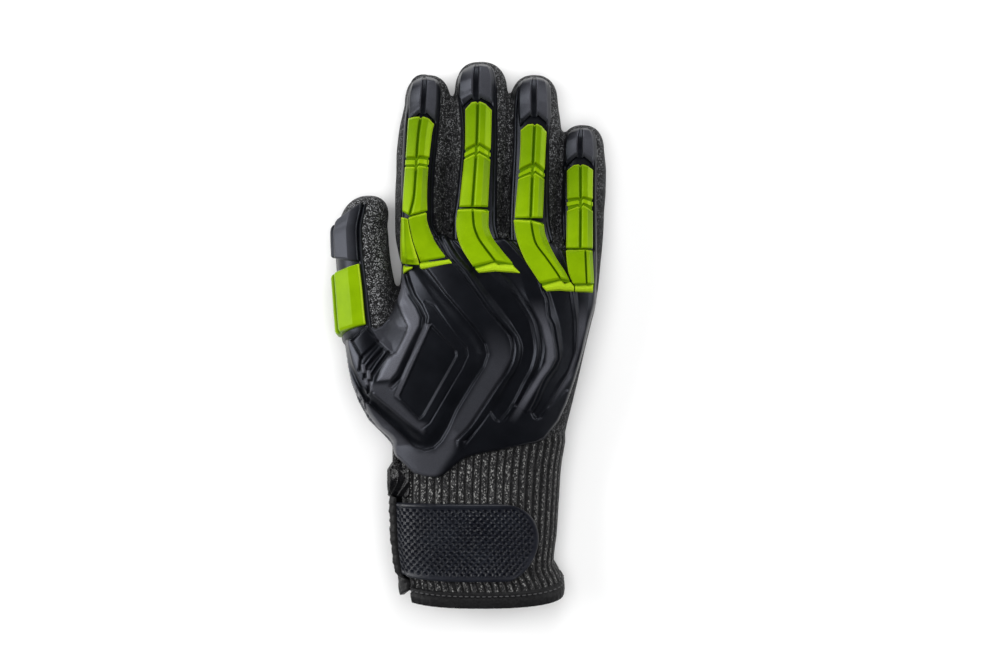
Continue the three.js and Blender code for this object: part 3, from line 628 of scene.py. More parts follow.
def object_space(tree, scale=(1.0, 1.0, 1.0)):
    where = node(tree, "ShaderNodeTexCoord")
    mapping = node(tree, "ShaderNodeMapping")
    mapping.inputs["Scale"].default_value = scale
    tree.links.new(where.outputs["Object"], mapping.inputs["Vector"])
    return mapping.outputs["Vector"]


def noise(tree, vector, scale, detail=4.0, roughness=0.6):
    made = node(tree, "ShaderNodeTexNoise")
    made.inputs["Scale"].default_value = scale
    made.inputs["Detail"].default_value = detail
    made.inputs["Roughness"].default_value = roughness
    tree.links.new(vector, made.inputs["Vector"])
    return made.outputs["Fac"]


def ramp(tree, value, stops):
    made = node(tree, "ShaderNodeValToRGB")
    elements = made.color_ramp.elements
    while len(elements) < len(stops):
        elements.new(0.5)
    for element, (position, colour) in zip(elements, stops):
        element.position = position
        element.color = (*colour, 1.0)
    tree.links.new(value, made.inputs["Fac"])
    return made.outputs["Color"]


def bump(tree, height, strength, distance, below=None):
    made = node(tree, "ShaderNodeBump")
    made.inputs["Strength"].default_value = strength
    made.inputs["Distance"].default_value = distance
    tree.links.new(height, made.inputs["Height"])
    if below is not None:
        tree.links.new(below, made.inputs["Normal"])
    return made.outputs["Normal"]


def random_grains(tree, vector, scale):
    """Distance inside each grain of a cell pattern, and a random number for each grain."""
    cells = node(tree, "ShaderNodeTexVoronoi")
    cells.inputs["Scale"].default_value = scale
    tree.links.new(vector, cells.inputs["Vector"])
    pick = node(tree, "ShaderNodeSeparateColor")
    tree.links.new(cells.outputs["Color"], pick.inputs["Color"])
    return cells.outputs["Distance"], pick.outputs["Red"]


def mixed(tree, share, low, high):
    made = node(tree, "ShaderNodeMix", data_type="RGBA")
    tree.links.new(share, made.inputs["Factor"])
    tree.links.new(low, made.inputs["A"])
    tree.links.new(high, made.inputs["B"])
    return made.outputs["Result"]


def spread(tree, value, low, high):
    made = node(tree, "ShaderNodeMapRange")
    made.inputs["To Min"].default_value = low
    made.inputs["To Max"].default_value = high
    tree.links.new(value, made.inputs["Value"])
    return made.outputs["Result"]


def attribute_share(tree, name, low=0.0, high=1.0):
    """Share 0 to 1 of a mesh attribute between two of its values."""
    source = node(tree, "ShaderNodeAttribute", attribute_name=name)
    made = node(tree, "ShaderNodeMapRange")
    made.inputs["From Min"].default_value = low
    made.inputs["From Max"].default_value = high
    tree.links.new(source.outputs["Fac"], made.inputs["Value"])
    return made.outputs["Result"]


def rubber(name, dark, light, roughness, grain, grain_height, specular, toned=()):
    """Moulded rubber: slow drift of tone, fine moulded grain, and parts toned by a mesh attribute, which paint
    light and shade into the colour.

    toned lists attribute, its value where the tone starts and where it is full, and the tone."""
    material, tree, shader = new_material(name)
    space = object_space(tree)
    tone = noise(tree, space, 90.0, 5.0)
    fine = noise(tree, space, grain, 3.0)
    colour = ramp(tree, tone, [(0.3, dark), (0.7, light)])
    # Painted light and shade: each toned part's colour, varied a little by the fine grain, is mixed in by its
    # attribute.
    for attribute, low, high, shade in toned:
        darker, lighter = (tuple(share * c for c in shade) for share in (0.75, 1.25))
        varied = ramp(tree, fine, [(0.3, darker), (0.7, lighter)])
        colour = mixed(tree, attribute_share(tree, attribute, low, high), colour, varied)
    tree.links.new(colour, shader.inputs["Base Color"])
    tree.links.new(spread(tree, tone, roughness - 0.07, roughness + 0.08), shader.inputs["Roughness"])
    tree.links.new(bump(tree, fine, 0.35, grain_height), shader.inputs["Normal"])
    shader.inputs["Specular IOR Level"].default_value = specular
    return material


# Mesh attribute of painted sheen on the black guards, 0 to 1.
PAINTED_SHEEN = "painted_sheen"
# Mesh attribute of painted light and shade on the green pads: painted highlight where positive, painted shade
# where negative.
PAD_LIGHT_AND_SHADE = "edge"
# Black guard rubber. Where the sheen attribute is high, a bluish grey is painted into the colour as painted
# sheen, standing for the soft boxes caught on its facets.
GUARD_BLACK = rubber(
    "guard_black", (0.0016, 0.0018, 0.0026), (0.0032, 0.0036, 0.005), 0.33, 2600.0, 0.0001, 0.3,
    [(PAINTED_SHEEN, 0.0, 1.0, (0.105, 0.107, 0.125))],
)
GUARD_BLACK.node_tree.nodes["Principled BSDF"].inputs["Specular Tint"].default_value = (0.8, 0.85, 1.0, 1.0)
# Green guard rubber. A yellow-green painted highlight and a dark green painted shade are mixed into the colour by
# the pads' attribute.
GUARD_GREEN = rubber(
    "guard_green", (0.15, 0.265, 0.0007), (0.19, 0.32, 0.0012), 0.3, 1800.0, 0.00006, 0.22,
    [(PAD_LIGHT_AND_SHADE, 0.1, 1.0, (0.48, 0.64, 0.025)), (PAD_LIGHT_AND_SHADE, 0.0, -1.0, (0.035, 0.095, 0.0004))],
)
GUARD_GREEN.node_tree.nodes["Principled BSDF"].inputs["Specular Tint"].default_value = (0.75, 1.0, 0.12, 1.0)
STRAP_RUBBER = rubber(
    "strap_rubber", (0.0045, 0.005, 0.0085), (0.008, 0.0095, 0.0145), 0.38, 2200.0, 0.0001, 0.42,
)


PAINTED_GLINTS = "pale"


def sandy_coat():
    """Black sandy coating: a dark random grain, with pale specks painted in as glints: few on the fingers and
    palm, many on the thumb's lit side.
    """
    material, tree, shader = new_material("sandy_coat")
    space = object_space(tree)
    inside, pick = random_grains(tree, space, 2300.0)
    crinkle = noise(tree, space, 300.0, 6.0, 0.7)
    # Painted glints: the brightest grains stand for small glints of light on the coating. The second ramp has
    # more of them.
    few = ramp(
        tree, pick, [(0.0, (0.0025, 0.0025, 0.003)), (0.55, (0.006, 0.0062, 0.007)),
        (0.78, (0.02, 0.0205, 0.022)),
                     (0.96, (0.12, 0.122, 0.126))],
    )
    many = ramp(
        tree, pick, [(0.0, (0.003, 0.003, 0.0035)), (0.5, (0.009, 0.0093, 0.01)),
        (0.7, (0.046, 0.047, 0.049)),
                     (0.93, (0.3, 0.305, 0.315))],
    )
    patches = ramp(tree, crinkle, [(0.3, (0.0, 0.0, 0.0)), (0.52, (1.0, 1.0, 1.0))])
    ground = ramp(tree, pick, [(0.2, (0.0025, 0.0025, 0.003)), (0.95, (0.02, 0.0205, 0.022))])
    grain = mixed(tree, attribute_share(tree, PAINTED_GLINTS), few, many)
    tree.links.new(mixed(tree, patches, ground, grain), shader.inputs["Base Color"])
    tree.links.new(spread(tree, pick, 0.55, 0.9), shader.inputs["Roughness"])
    rough = bump(tree, crinkle, 0.8, 0.0012)
    tree.links.new(bump(tree, inside, 0.6, 0.0005, rough), shader.inputs["Normal"])
    shader.inputs["Specular IOR Level"].default_value = 0.2
    return material


COAT = sandy_coat()
# Mesh attribute of the rib crown. It also carries painted shade: it is dimmed toward the cuff's right side.
RIB_ATTRIBUTE = "rib"


def knit_yarn():
    """Charcoal rib knit flecked with pale yarn: flecks on the ribs, and near-black painted shade in the valleys
    between them.
    """
    material, tree, shader = new_material("knit_yarn")
    space = object_space(tree, (1.0, 0.62, 1.0))
    inside, pick = random_grains(tree, space, 2300.0)
    flecks = ramp(
        tree, pick, [(0.0, (0.003, 0.003, 0.0033)), (0.45, (0.01, 0.01, 0.011)),
        (0.66, (0.034, 0.034, 0.036)),
                     (0.83, (0.085, 0.085, 0.084)), (0.98, (0.27, 0.27, 0.262))],
    )
    # Painted shade: near-black in the valleys between the ribs, where shade falls.
    between = ramp(tree, pick, [(0.3, (0.002, 0.002, 0.0022)), (0.95, (0.013, 0.013, 0.014))])
    rib = node(tree, "ShaderNodeAttribute", attribute_name=RIB_ATTRIBUTE)
    on_rib = ramp(tree, rib.outputs["Fac"], [(0.48, (0.0, 0.0, 0.0)), (0.72, (1.0, 1.0, 1.0))])
    tree.links.new(mixed(tree, on_rib, between, flecks), shader.inputs["Base Color"])
    tree.links.new(spread(tree, pick, 0.75, 0.95), shader.inputs["Roughness"])
    shader.inputs["Sheen Weight"].default_value = 0.12
    shader.inputs["Specular IOR Level"].default_value = 0.25
    tree.links.new(bump(tree, inside, 0.8, 0.0006), shader.inputs["Normal"])
    return material


KNIT = knit_yarn()


def soft_black(name, tone, roughness, scale, crease, specular):
    """Soft black cloth or leather with creases of the given size in metres."""
    material, tree, shader = new_material(name)
    space = object_space(tree)
    pebble = noise(tree, space, scale, 5.0)
    folds = noise(tree, space, 140.0, 3.0)
    tree.links.new(
        ramp(tree, pebble, [(0.3, tuple(0.6 * c for c in tone)), (0.7, tuple(1.7 * c for c in tone))]),
        shader.inputs["Base Color"],
    )
    tree.links.new(spread(tree, pebble, roughness - 0.12, roughness + 0.12), shader.inputs["Roughness"])
    shader.inputs["Specular IOR Level"].default_value = specular
    creased = bump(tree, folds, 0.6, crease)
    tree.links.new(bump(tree, pebble, 0.5, 0.0004, creased), shader.inputs["Normal"])
    return material


BINDING = soft_black("binding", (0.0075, 0.0075, 0.008), 0.42, 900.0, 0.0009, 0.12)
GUSSET = soft_black("gusset_fabric", (0.0025, 0.0025, 0.003), 0.24, 700.0, 0.0016, 0.3)
THREAD = soft_black("thread", (0.05, 0.05, 0.052), 0.6, 2400.0, 0.0001, 0.2)


def quarter_round(t):
    """Rise of a quarter circle from 0 to 1 as t goes from 0 to 1, flat beyond."""
    return np.sqrt(1 - (1 - np.clip(t, 0, 1)) ** 2)


def add_object(name, data):
    """New object with the given data, placed in the scene."""
    made = bpy.data.objects.new(name, data)
    bpy.context.scene.collection.objects.link(made)
    return made


def bake(piece):
    """Make what a piece's modifiers give into its own mesh."""
    made = bpy.data.meshes.new_from_object(piece.evaluated_get(bpy.context.evaluated_depsgraph_get()))
    piece.modifiers.clear()
    piece.data = made
    return made


# Knitted and coated body

BODY_SIDES = 64
BODY_VOXEL = 1.25
BODY_LOW = -0.2
# What the smoothed skin loses, added to the outer half of the digits and to their tips.
DIGIT_GROWTH = 0.7
TIP_GROWTH = 0.9
TIP_STEPS = np.sin(np.linspace(0, math.pi / 2, 10))[1:]
# The skin's thumb side, drawn in behind the back plate's side wall: depth, x limit, y range and fade.
TUCK = {"depth": 1.3, "side": -28.0, "top": -6.0, "foot": -70.0, "fade": 5.0}
# Where painted glints crowd the skin, in millimetres: the thumb's outer, lit side, and the digits towards their
# tips.
PAINTED_GLINTS_THUMB = {"side": -37, "fade": 5, "foot": -38, "rise": 8}
PAINTED_GLINTS_TIPS = {"amount": 0.45, "start": 55, "reach": 50}


def limb_rings(limb):
    rows = limb["rows"]
    first, last = rows[0][0], rows[-1][0]
    count = max(int((last - first) * GLOVE_LENGTH / 2), 2)
    shares = np.linspace(first, last, count)
    if limb["tip"]:
        shares = np.concatenate([shares, last + (limb["tip"] - last) * TIP_STEPS])
    angles = (np.arange(BODY_SIDES) + 0.5) * 360 / BODY_SIDES
    grown = 0.0
    if limb["tip"]:
        to_tip = np.clip((shares - last) / (limb["tip"] - last), 0, 1)
        outer = ease(((shares - first) / (limb["tip"] - first) - 0.45) / 0.15)
        grown = (DIGIT_GROWTH * outer + TIP_GROWTH * to_tip**2)[:, None]
    return place(limb, shares[:, None], angles[None, :], grown)


def ring_tube(rings):
    rows, sides = rings.shape[:2]
    index = np.arange(rows * sides).reshape(rows, sides)
    beside = np.roll(index, -1, axis=1)
    faces = np.stack(
        [index[:-1].ravel(), beside[:-1].ravel(), beside[1:].ravel(), index[1:].ravel()], axis=1
    ).tolist()
    return rings.reshape(-1, 3), faces + [index[0][::-1].tolist(), index[-1].tolist()]


def tucked(points):
    """Points of the skin, drawn in where the back plate's side wall covers them."""
    x, y, _ = points.T
    share = ease((TUCK["side"] - x) / TUCK["fade"]) * ease((TUCK["top"] - y) / TUCK["fade"])
    share = share * ease((y - TUCK["foot"]) / TUCK["fade"])
    return points + np.outer(TUCK["depth"] * share, (1, 0, 0))


def coated_body():
    points, faces = [], []
    for limb in LIMBS.values():
        limb_points, limb_faces = ring_tube(limb_rings(limb))
        start = sum(len(p) for p in points)
        points.append(limb_points)
        faces += [[start + k for k in face] for face in limb_faces]
    mesh = bpy.data.meshes.new("coated_body")
    mesh.from_pydata((np.concatenate(points) * METRE).tolist(), [], faces)
    body = add_object("coated_body", mesh)
    work = bmesh.new()
    work.from_mesh(mesh)
    bmesh.ops.remove_doubles(work, verts=work.verts, dist=1e-6)
    bmesh.ops.recalc_face_normals(work, faces=work.faces)
    work.to_mesh(mesh)
    work.free()
    remesh = body.modifiers.new("one_skin", "REMESH")
    remesh.mode = "VOXEL"
    remesh.voxel_size = BODY_VOXEL * METRE
    soften = body.modifiers.new("soften", "SMOOTH")
    soften.factor = 0.5
    soften.iterations = 5
    baked = bake(body)
    work = bmesh.new()
    work.from_mesh(baked)
    bmesh.ops.bisect_plane(
        work, geom=work.verts[:] + work.edges[:] + work.faces[:], clear_inner=True,
        plane_co=(0, BODY_LOW * GLOVE_LENGTH * METRE, 0), plane_no=(0, 1, 0),
    )
    work.to_mesh(baked)
    work.free()
    skin = tucked(np.array([v.co for v in baked.vertices]) / METRE)
    baked.vertices.foreach_set("co", (skin * METRE).ravel())
    wall = body.modifiers.new("wall", "SOLIDIFY")
    wall.thickness = KNIT_WALL * METRE
    wall.offset = -1
    dress(body, COAT, ["knit_shell"], smooth_angle=None)
    # Painted glints: more on the thumb's outer, lit side and toward the tips of the digits.
    x, y, _ = (np.array([v.co for v in baked.vertices]) / METRE).T
    thumb = ease((PAINTED_GLINTS_THUMB["side"] - x) / PAINTED_GLINTS_THUMB["fade"])
    thumb = thumb * ease((y - PAINTED_GLINTS_THUMB["foot"]) / PAINTED_GLINTS_THUMB["rise"])
    tips = PAINTED_GLINTS_TIPS["amount"] * ease((y - PAINTED_GLINTS_TIPS["start"]) / PAINTED_GLINTS_TIPS["reach"])
    give_attribute(body, PAINTED_GLINTS, np.maximum(thumb, tips))


def cuff_angles():
    """Angles round the cuff from the rear of the slit to its front, ribs evenly spaced along the cloth."""
    dense = np.linspace(SLIT["rear"], 360 + SLIT["front"], 721)
    ring = place(PALM, -0.35, dense, 0.0)
    travel = np.concatenate([[0], np.cumsum(np.linalg.norm(np.diff(ring, axis=0), axis=1))])
    ribs = round(travel[-1] / RIB_PITCH)
    samples = np.linspace(0, 1, ribs * 8 + 1)
    return np.interp(samples * travel[-1], travel, dense), samples * ribs


def knit_cuff():
    angles, rib = cuff_angles()
    crown = np.abs(np.cos(np.pi * rib)) ** 0.8
    ridge = RIB_HEIGHT * crown
    shares = np.linspace(HEM["low"] + 0.002, -0.165, 46)
    tuck = -1.2 * np.clip((shares - BODY_LOW) / 0.02, 0, 1)
    high = place(PALM, shares[:, None], angles[None, :], ridge[None, :] + tuck[:, None])
    low = place(PALM, shares[:, None], angles[None, :], -KNIT_WALL)
    piece = mesh_piece("knit_cuff", *grid_shell(low, high), KNIT, "knit", ["knit_shell"], None)
    # Painted shade: the ribs' flecks thin out toward the cuff's right side, so it reads darker there.
    painted_shade_right = 1 - 0.32 * ease((high[..., 0] - 8) / 24)
    give_attribute(piece, RIB_ATTRIBUTE, np.tile((crown[None, :] * painted_shade_right).ravel(), 2))


coated_body()
knit_cuff()

# Soft rolls of coating round the finger crotches: points in pixels.
CROTCH_ROLLS = {
    "index": [
        (436.6, 214), (437.4, 226), (440, 232.5), (444, 234.5), (448, 231.5), (450.5, 224), (451.2, 212),
    ],
    "middle": [
        (497.6, 218), (498.4, 230), (501, 236), (504.4, 237.5), (507.4, 233), (508.6, 224), (508.6, 212),
    ],
    "ring": [(551.4, 226), (553, 240), (556, 248.6), (558.6, 250), (560.6, 244), (561, 234), (561, 222)],
}
ROLL_RADIUS = 1.05


def crotch_roll(name, points):
    points = np.asarray(points, float)
    t = np.linspace(0, 1, 60)
    path = smooth_table(np.column_stack([np.linspace(0, 1, len(points)), points]), t)
    x, y = chart_x(path[:, 0]), chart_y(path[:, 1])
    spine = over_back(x, y, 0.7)
    ahead = np.gradient(spine, axis=0)
    ahead /= np.linalg.norm(ahead, axis=1, keepdims=True)
    side = np.cross(ahead, [0.0, 0.0, 1.0])
    side /= np.linalg.norm(side, axis=1, keepdims=True)
    up = np.cross(side, ahead)
    turn = np.linspace(0, 2 * math.pi, 13)[:-1]
    pinch = 1 + 0.22 * np.sin(t * 47) + 0.12 * np.sin(t * 91 + 1)
    radius = (ROLL_RADIUS * pinch * np.sqrt(np.clip(np.minimum(t, 1 - t) * 12, 0.02, 1)))[:, None, None]
    rings = spine[:, None] + radius * (
        side[:, None] * np.cos(turn)[None, :, None] + up[:, None] * np.sin(turn)[None, :, None]
    )
    mesh_piece(f"{name}_crotch_roll", *ring_tube(rings), COAT, "knit", ["knit_shell"], None)


for finger, points in CROTCH_ROLLS.items():
    crotch_roll(finger, points)

# Finger rails, caps and pads

EMBED = -0.9


def photo_x(x):
    return PHOTO_CENTRE_X + x / PIXEL


def photo_y(y):
    return PHOTO_CENTRE_Y - y / PIXEL


def digit_height(limb, x, y):
    centre_x, centre_z, half, up, _, _ = section(limb, y / GLOVE_LENGTH, 0.0)
    u = np.clip(np.abs(x - centre_x) / np.maximum(half, 1e-6), 0, 0.985)
    return centre_z + up * (1 - u ** limb["over"]) ** (1 / limb["over"])


def digit_back(limb, x, y, offset):
    """Points at chart x and y on a digit's back, standing off it by offset."""
    x, y, offset = np.broadcast_arrays(np.asarray(x, float), np.asarray(y, float), np.asarray(offset, float))
    rise_x = digit_height(limb, x + NORMAL_STEP, y) - digit_height(limb, x - NORMAL_STEP, y)
    rise_y = digit_height(limb, x, y + NORMAL_STEP) - digit_height(limb, x, y - NORMAL_STEP)
    slope_x, slope_y = rise_x / (2 * NORMAL_STEP), rise_y / (2 * NORMAL_STEP)
    upright = np.maximum(1 / np.sqrt(1 + slope_x**2 + slope_y**2), LEAST_UPRIGHT)
    return np.stack([x, y, digit_height(limb, x, y) + offset / upright], axis=-1)


def over_digit(name):
    """The function that gives points over the back of the named digit."""
    def stand(x, y, offset):
        return digit_back(LIMBS[name], x, y, offset)
    return stand


def edges_at(table, y):
    """Columns of a pixel table at chart y, as chart x."""
    return chart_x(smooth_table(table, photo_y(y)))


def by_share(edges, u):
    """Chart x at share u, -1 at the left edge and 1 at the right, through the groove where there is one."""
    left, right = edges[..., 0], edges[..., -1]
    if edges.shape[-1] == 2:
        return left + (right - left) * (u + 1) / 2
    groove = edges[..., 1]
    return np.where(u < 0, groove + (groove - left) * u, groove + (right - groove) * u)


RAIL_PROFILE = [
    (-1.0, 0.2), (-0.985, 0.9), (-0.95, 1.5), (-0.9, 1.85), (-0.84, 1.8), (-0.78, 1.2), (-0.7, 1.15),
    (-0.35, 1.35),
    (0.0, 1.4), (0.35, 1.35), (0.7, 1.15), (0.78, 1.2), (0.84, 1.8), (0.9, 1.85), (0.95, 1.5), (0.985, 0.9),
    (1.0, 0.2),
]


def columns_of(profile):
    return np.array([u for u, _ in profile])[None, :], np.array([h for _, h in profile])[None, :]


def finger_rail(name):
    limb, table = LIMBS[name], FINGERS[name]["rail"]
    top, foot = chart_y(table[0][0]), chart_y(table[-1][0])
    t = np.sin(np.linspace(0, math.pi / 2, 100)) ** 1.2
    y = (foot + (top - foot) * t)[:, None]
    u, lift = columns_of(RAIL_PROFILE)
    x = by_share(edges_at(table, y), u)
    end = np.clip((top - y) / 1.6, 0, 1)
    high = digit_back(limb, x, y, lift * (0.35 + 0.65 * np.sqrt(end)))
    low = digit_back(limb, x, y, EMBED)
    mesh_piece(f"{name}_finger_rail", *grid_shell(low, high), GUARD_BLACK, "guard_black", [f"{name}_rail"])


PAD_PROFILE = [
    (-1.0, 0.42), (-0.93, 0.74), (-0.5, 0.9), (-0.22, 1.0), (-0.12, 0.84), (-0.03, 0.46), (0.03, 0.46),
    (0.12, 0.84),
    (0.22, 1.0), (0.56, 0.88), (0.63, 0.78), (0.94, 0.5), (1.0, 0.3),
]
# Outline of a pad's end: share across the pad, how far the end has gone there from its side to its centre,
# and how many pixels it is notched.
SHOULDERS = [
    (-1, 0, 0), (-0.52, 0.9, 0), (-0.1, 1, 0), (0, 1, 1.8), (0.1, 1, 0), (0.42, 0.95, 0), (1, 0, 0),
]
CHEVRON = [(-1, 0, 0), (-0.16, 1, 0), (0, 1, 2.2), (0.2, 1, -1.2), (1, 0, 0)]
PLAIN_END = [(-1, 0, 0), (0, 1, 0), (1, 0, 0)]
# Pads of a finger: name, outlines of the upper and lower end, share of the pads' height, rows of points,
# painted light and shade at the lower and upper end, and how much the right facet's painted tone differs.
FINGER_PADS = [
    ("distal", SHOULDERS, CHEVRON, 1.0, 9, (-0.3, -0.55), 0.5),
    ("link", CHEVRON, CHEVRON, 0.72, 3, (0.0, -0.1), 0.3),
    ("proximal", CHEVRON, PLAIN_END, 1.0, 9, (0.2, -0.35), -0.35),
]
# Painted light and shade of the knuckle pads and the index fin: from the low end to the top end, and the
# knuckles' darker right facet.
KNUCKLE_PAINTED_LIGHT_DRIFT = (0.12, -0.22)
KNUCKLE_PAINTED_FACET_SHADE = -0.2
FIN_PAINTED_LIGHT_DRIFT = (0.1, -0.1)
BED_HEIGHT = 1.25
BED_SHARE = 0.93
BED_INSET = 0.5
# Painted shade of the beds: dark green where the gaps between the pads lie in shade.
BED_PAINTED_SHADE = -0.75
# Painted light and shade of the green pads: painted highlight on a pad's rim and on the low bars, painted shade
# in its groove and at its low end.
PAD_PAINTED_LIGHT_AND_SHADE = {"rim": 0.7, "groove": -1.0, "foot": -0.45, "bar": 0.42}
PAD_BEVEL = 0.22


def end_line(end, u, outline=PLAIN_END):
    """Chart y of a pad's end across the pad: left, centre, right in pixels."""
    left, centre, right = end
    share, gone, notch = np.array(outline, float).T
    side = np.where(u < 0, left, right)
    return chart_y(side + (centre - side) * np.interp(u, share, gone) + np.interp(u, share, notch))


def painted_pad_light_and_shade(u, lift, v, drift=(0.0, 0.0), facet=0.0):
    """Painted light and shade of a grid shell's points: a painted highlight on a pad's rim and painted shade in
    its groove.

    Between them the painted tone drifts from the low end to the top end, and the right facet differs by its own
    painted tone. The top end gets the rim's painted highlight and the low end painted shade."""
    groove = (np.abs(u) < 0.9) & (lift < 0.6)
    rim = np.abs(u) > 0.97
    face = np.interp(v, [0, 1], drift)[:, None] + np.where(u > 0.6, facet, 0.0)
    tone = np.where(rim, PAD_PAINTED_LIGHT_AND_SHADE["rim"], np.where(groove, PAD_PAINTED_LIGHT_AND_SHADE["groove"], face))
    tone[-1] = PAD_PAINTED_LIGHT_AND_SHADE["rim"]
    tone[0] = PAD_PAINTED_LIGHT_AND_SHADE["foot"]
    return np.concatenate([np.zeros_like(tone), tone])


def moulded_pad(name, replaced, stand, table, top, low, profile, height, foot, refine, drift, facet):
    """Raised green pad: its table of edges and groove, and its two ends with their outlines."""
    u, lift = columns_of(profile)
    inner = np.linspace(0.1, 0.88, refine)
    v = np.concatenate([[0, 0.04], inner, [0.95, 1.0]])[:, None]
    chamfer = np.interp(v, [0, 0.04, 0.95, 1.0], [0.7, 1.0, 1.0, 0.6])
    low_y, top_y = end_line(low[0], u, low[1]), end_line(top[0], u, top[1])
    y = low_y + (top_y - low_y) * v
    x = by_share(edges_at(table, y), u)
    high = stand(x, y, RAIL_THICKNESS + height * lift * chamfer)
    below = stand(x, y, foot)
    piece = mesh_piece(name, *grid_shell(below, high), GUARD_GREEN, "guard_green", [replaced], 18.0)
    # Painted light and shade of the pad, as a mesh attribute.
    give_attribute(piece, PAD_LIGHT_AND_SHADE, painted_pad_light_and_shade(u[0], lift[0], v[:, 0], drift, facet))
    bevelled(piece, PAD_BEVEL)


def finger_pads(name):
    guard, stand = FINGERS[name], over_digit(name)
    for part, top_outline, low_outline, share, rows, drift, facet in FINGER_PADS:
        top, low = guard[part]
        moulded_pad(
            f"{name}_{part}_pad", f"{name}_pad_{part}", stand, guard["pad"], (top, top_outline),
            (low, low_outline), PAD_PROFILE, PAD_HEIGHT * share, 0.5, rows, drift, facet,
        )


def pad_bed(name, stand, table, top, low, outline, shell):
    """Thin bed of the pads' own rubber under the joints between them, coloured with painted shade."""
    u = np.linspace(-BED_SHARE, BED_SHARE, 9)[None, :]
    v = np.linspace(0, 1, 40)[:, None]
    low_y, top_y = end_line(low, u), end_line(top, u, outline) - BED_INSET
    y = low_y + (top_y - low_y) * v
    x = by_share(edges_at(table, y), u)
    shape = grid_shell(stand(x, y, 0.6), stand(x, y, shell + BED_HEIGHT))
    piece = mesh_piece(name, *shape, GUARD_GREEN, "guard_green")
    give_attribute(piece, PAD_LIGHT_AND_SHADE, np.full(len(shape[0]), BED_PAINTED_SHADE))


def finger_bed(name):
    guard = FINGERS[name]
    top, low = guard["distal"][0], guard["proximal"][1]
    pad_bed(f"{name}_pad_bed", over_digit(name), guard["pad"], top, low, SHOULDERS, RAIL_THICKNESS)


CAP_PROFILE = [
    (-1.0, 0.0), (-0.94, 0.3), (-0.88, 0.42), (-0.27, 1.0), (-0.19, 0.98), (-0.12, 0.35), (0.12, 0.35),
    (0.19, 0.98),
    (0.27, 1.0), (0.8, 0.62), (0.9, 0.34), (1.0, 0.0),
]


# Painted sheen across a cap: how much its facets' colour is lightened where they would catch the light.
CAP_PAINTED_SHEEN = [
    (-1, 0), (-0.86, 0.02), (-0.8, 0.12), (-0.3, 0.24), (-0.2, 0.3), (-0.15, 0), (0.15, 0), (0.2, 0.45),
    (0.3, 0.3),
    (0.76, 0.5), (0.84, 0.12), (1, 0),
]


def finger_cap(name):
    limb, guard = LIMBS[name], FINGERS[name]
    u, lift = columns_of(CAP_PROFILE)
    sides, peaks, middle = guard["cap_end"]
    low_y = chart_y(np.interp(np.abs(u), [0, 0.1, 0.42, 1], [middle, middle, peaks, sides]))
    high_y = chart_y(guard["cap"][0][0])
    t = np.concatenate([[0, 0.03], np.sin(np.linspace(0.1, math.pi / 2, 26)) ** 1.1])[:, None]
    y = low_y + (high_y - low_y) * t
    x = by_share(edges_at(guard["cap"], y), u)
    rise = np.clip((y - low_y) / (4.2 * PIXEL), 0, 1) * 0.7 + 0.3
    end = np.sqrt(np.clip((high_y - y) / 4.5, 0, 1))
    high = digit_back(limb, x, y, RAIL_THICKNESS - 0.3 + (0.3 + CAP_HEIGHT * lift * rise) * end)
    low = digit_back(limb, x, y, 0.2)
    piece = mesh_piece(
        f"{name}_fingertip_cap", *grid_shell(low, high), GUARD_BLACK, "guard_black", [f"{name}_rail"], 20.0
    )
    # Painted sheen on the cap's top, weaker toward its ends. None on its underside.
    shares, amounts = np.array(CAP_PAINTED_SHEEN).T
    painted_sheen = np.interp(u, shares, amounts) * np.interp(t, [0, 0.12, 0.7, 1], [0.4, 0.85, 1, 0.5])
    give_attribute(piece, PAINTED_SHEEN, np.concatenate([0 * painted_sheen, painted_sheen]))
    bevelled(piece, PAD_BEVEL)


def knuckle_bar(name, rows, replaced):
    """Low bar below a knuckle pad: rows of x, upper y and lower y in pixels, with a rounded crest."""
    rows = np.asarray(rows, float)
    t = np.array([0, 0.18, 0.5, 0.82, 1.0])[None, :]
    lift = np.array([0.55, 0.85, 0.95, 0.8, 0.35])[None, :]
    x = np.broadcast_to(chart_x(rows[:, :1]), (len(rows), t.size))
    y = chart_y(rows[:, 1:2] + (rows[:, 2:3] - rows[:, 1:2]) * t)
    high = over_back(x, y, PLATE_THICKNESS + 0.85 * PAD_HEIGHT * lift)
    low = over_back(x, y, 0.3)
    piece = mesh_piece(f"{name}_bar", *grid_shell(low, high), GUARD_GREEN, "guard_green", [replaced], 20.0)
    # Painted highlight: the bar's colour is lightened part way toward the pads' painted highlight.
    give_attribute(piece, PAD_LIGHT_AND_SHADE, np.full((2, *low.shape[:2]), PAD_PAINTED_LIGHT_AND_SHADE["bar"]))
    bevelled(piece, PAD_BEVEL)


def knuckle_pad(name):
    """Pad over a knuckle, the low bar below it, and the beds round the pads of its finger."""
    table, (top, low, profile) = KNUCKLES[name], KNUCKLE_ENDS[name]
    moulded_pad(
        f"{name}_knuckle", f"{name}_pad_knuckle", over_back, table, (top, PLAIN_END), (low, PLAIN_END),
        profile, PAD_HEIGHT, 0.3, 22, KNUCKLE_PAINTED_LIGHT_DRIFT, KNUCKLE_PAINTED_FACET_SHADE,
    )
    knuckle_bar(name, BARS[name], f"{name}_knuckle_bar")
    finger_bed(name)
    bed_top, bed_low = tuple(y - 2.0 for y in top), tuple(y + 2.6 for y in low)
    pad_bed(f"{name}_knuckle_bed", over_back, table, bed_top, bed_low, PLAIN_END, PLATE_THICKNESS)


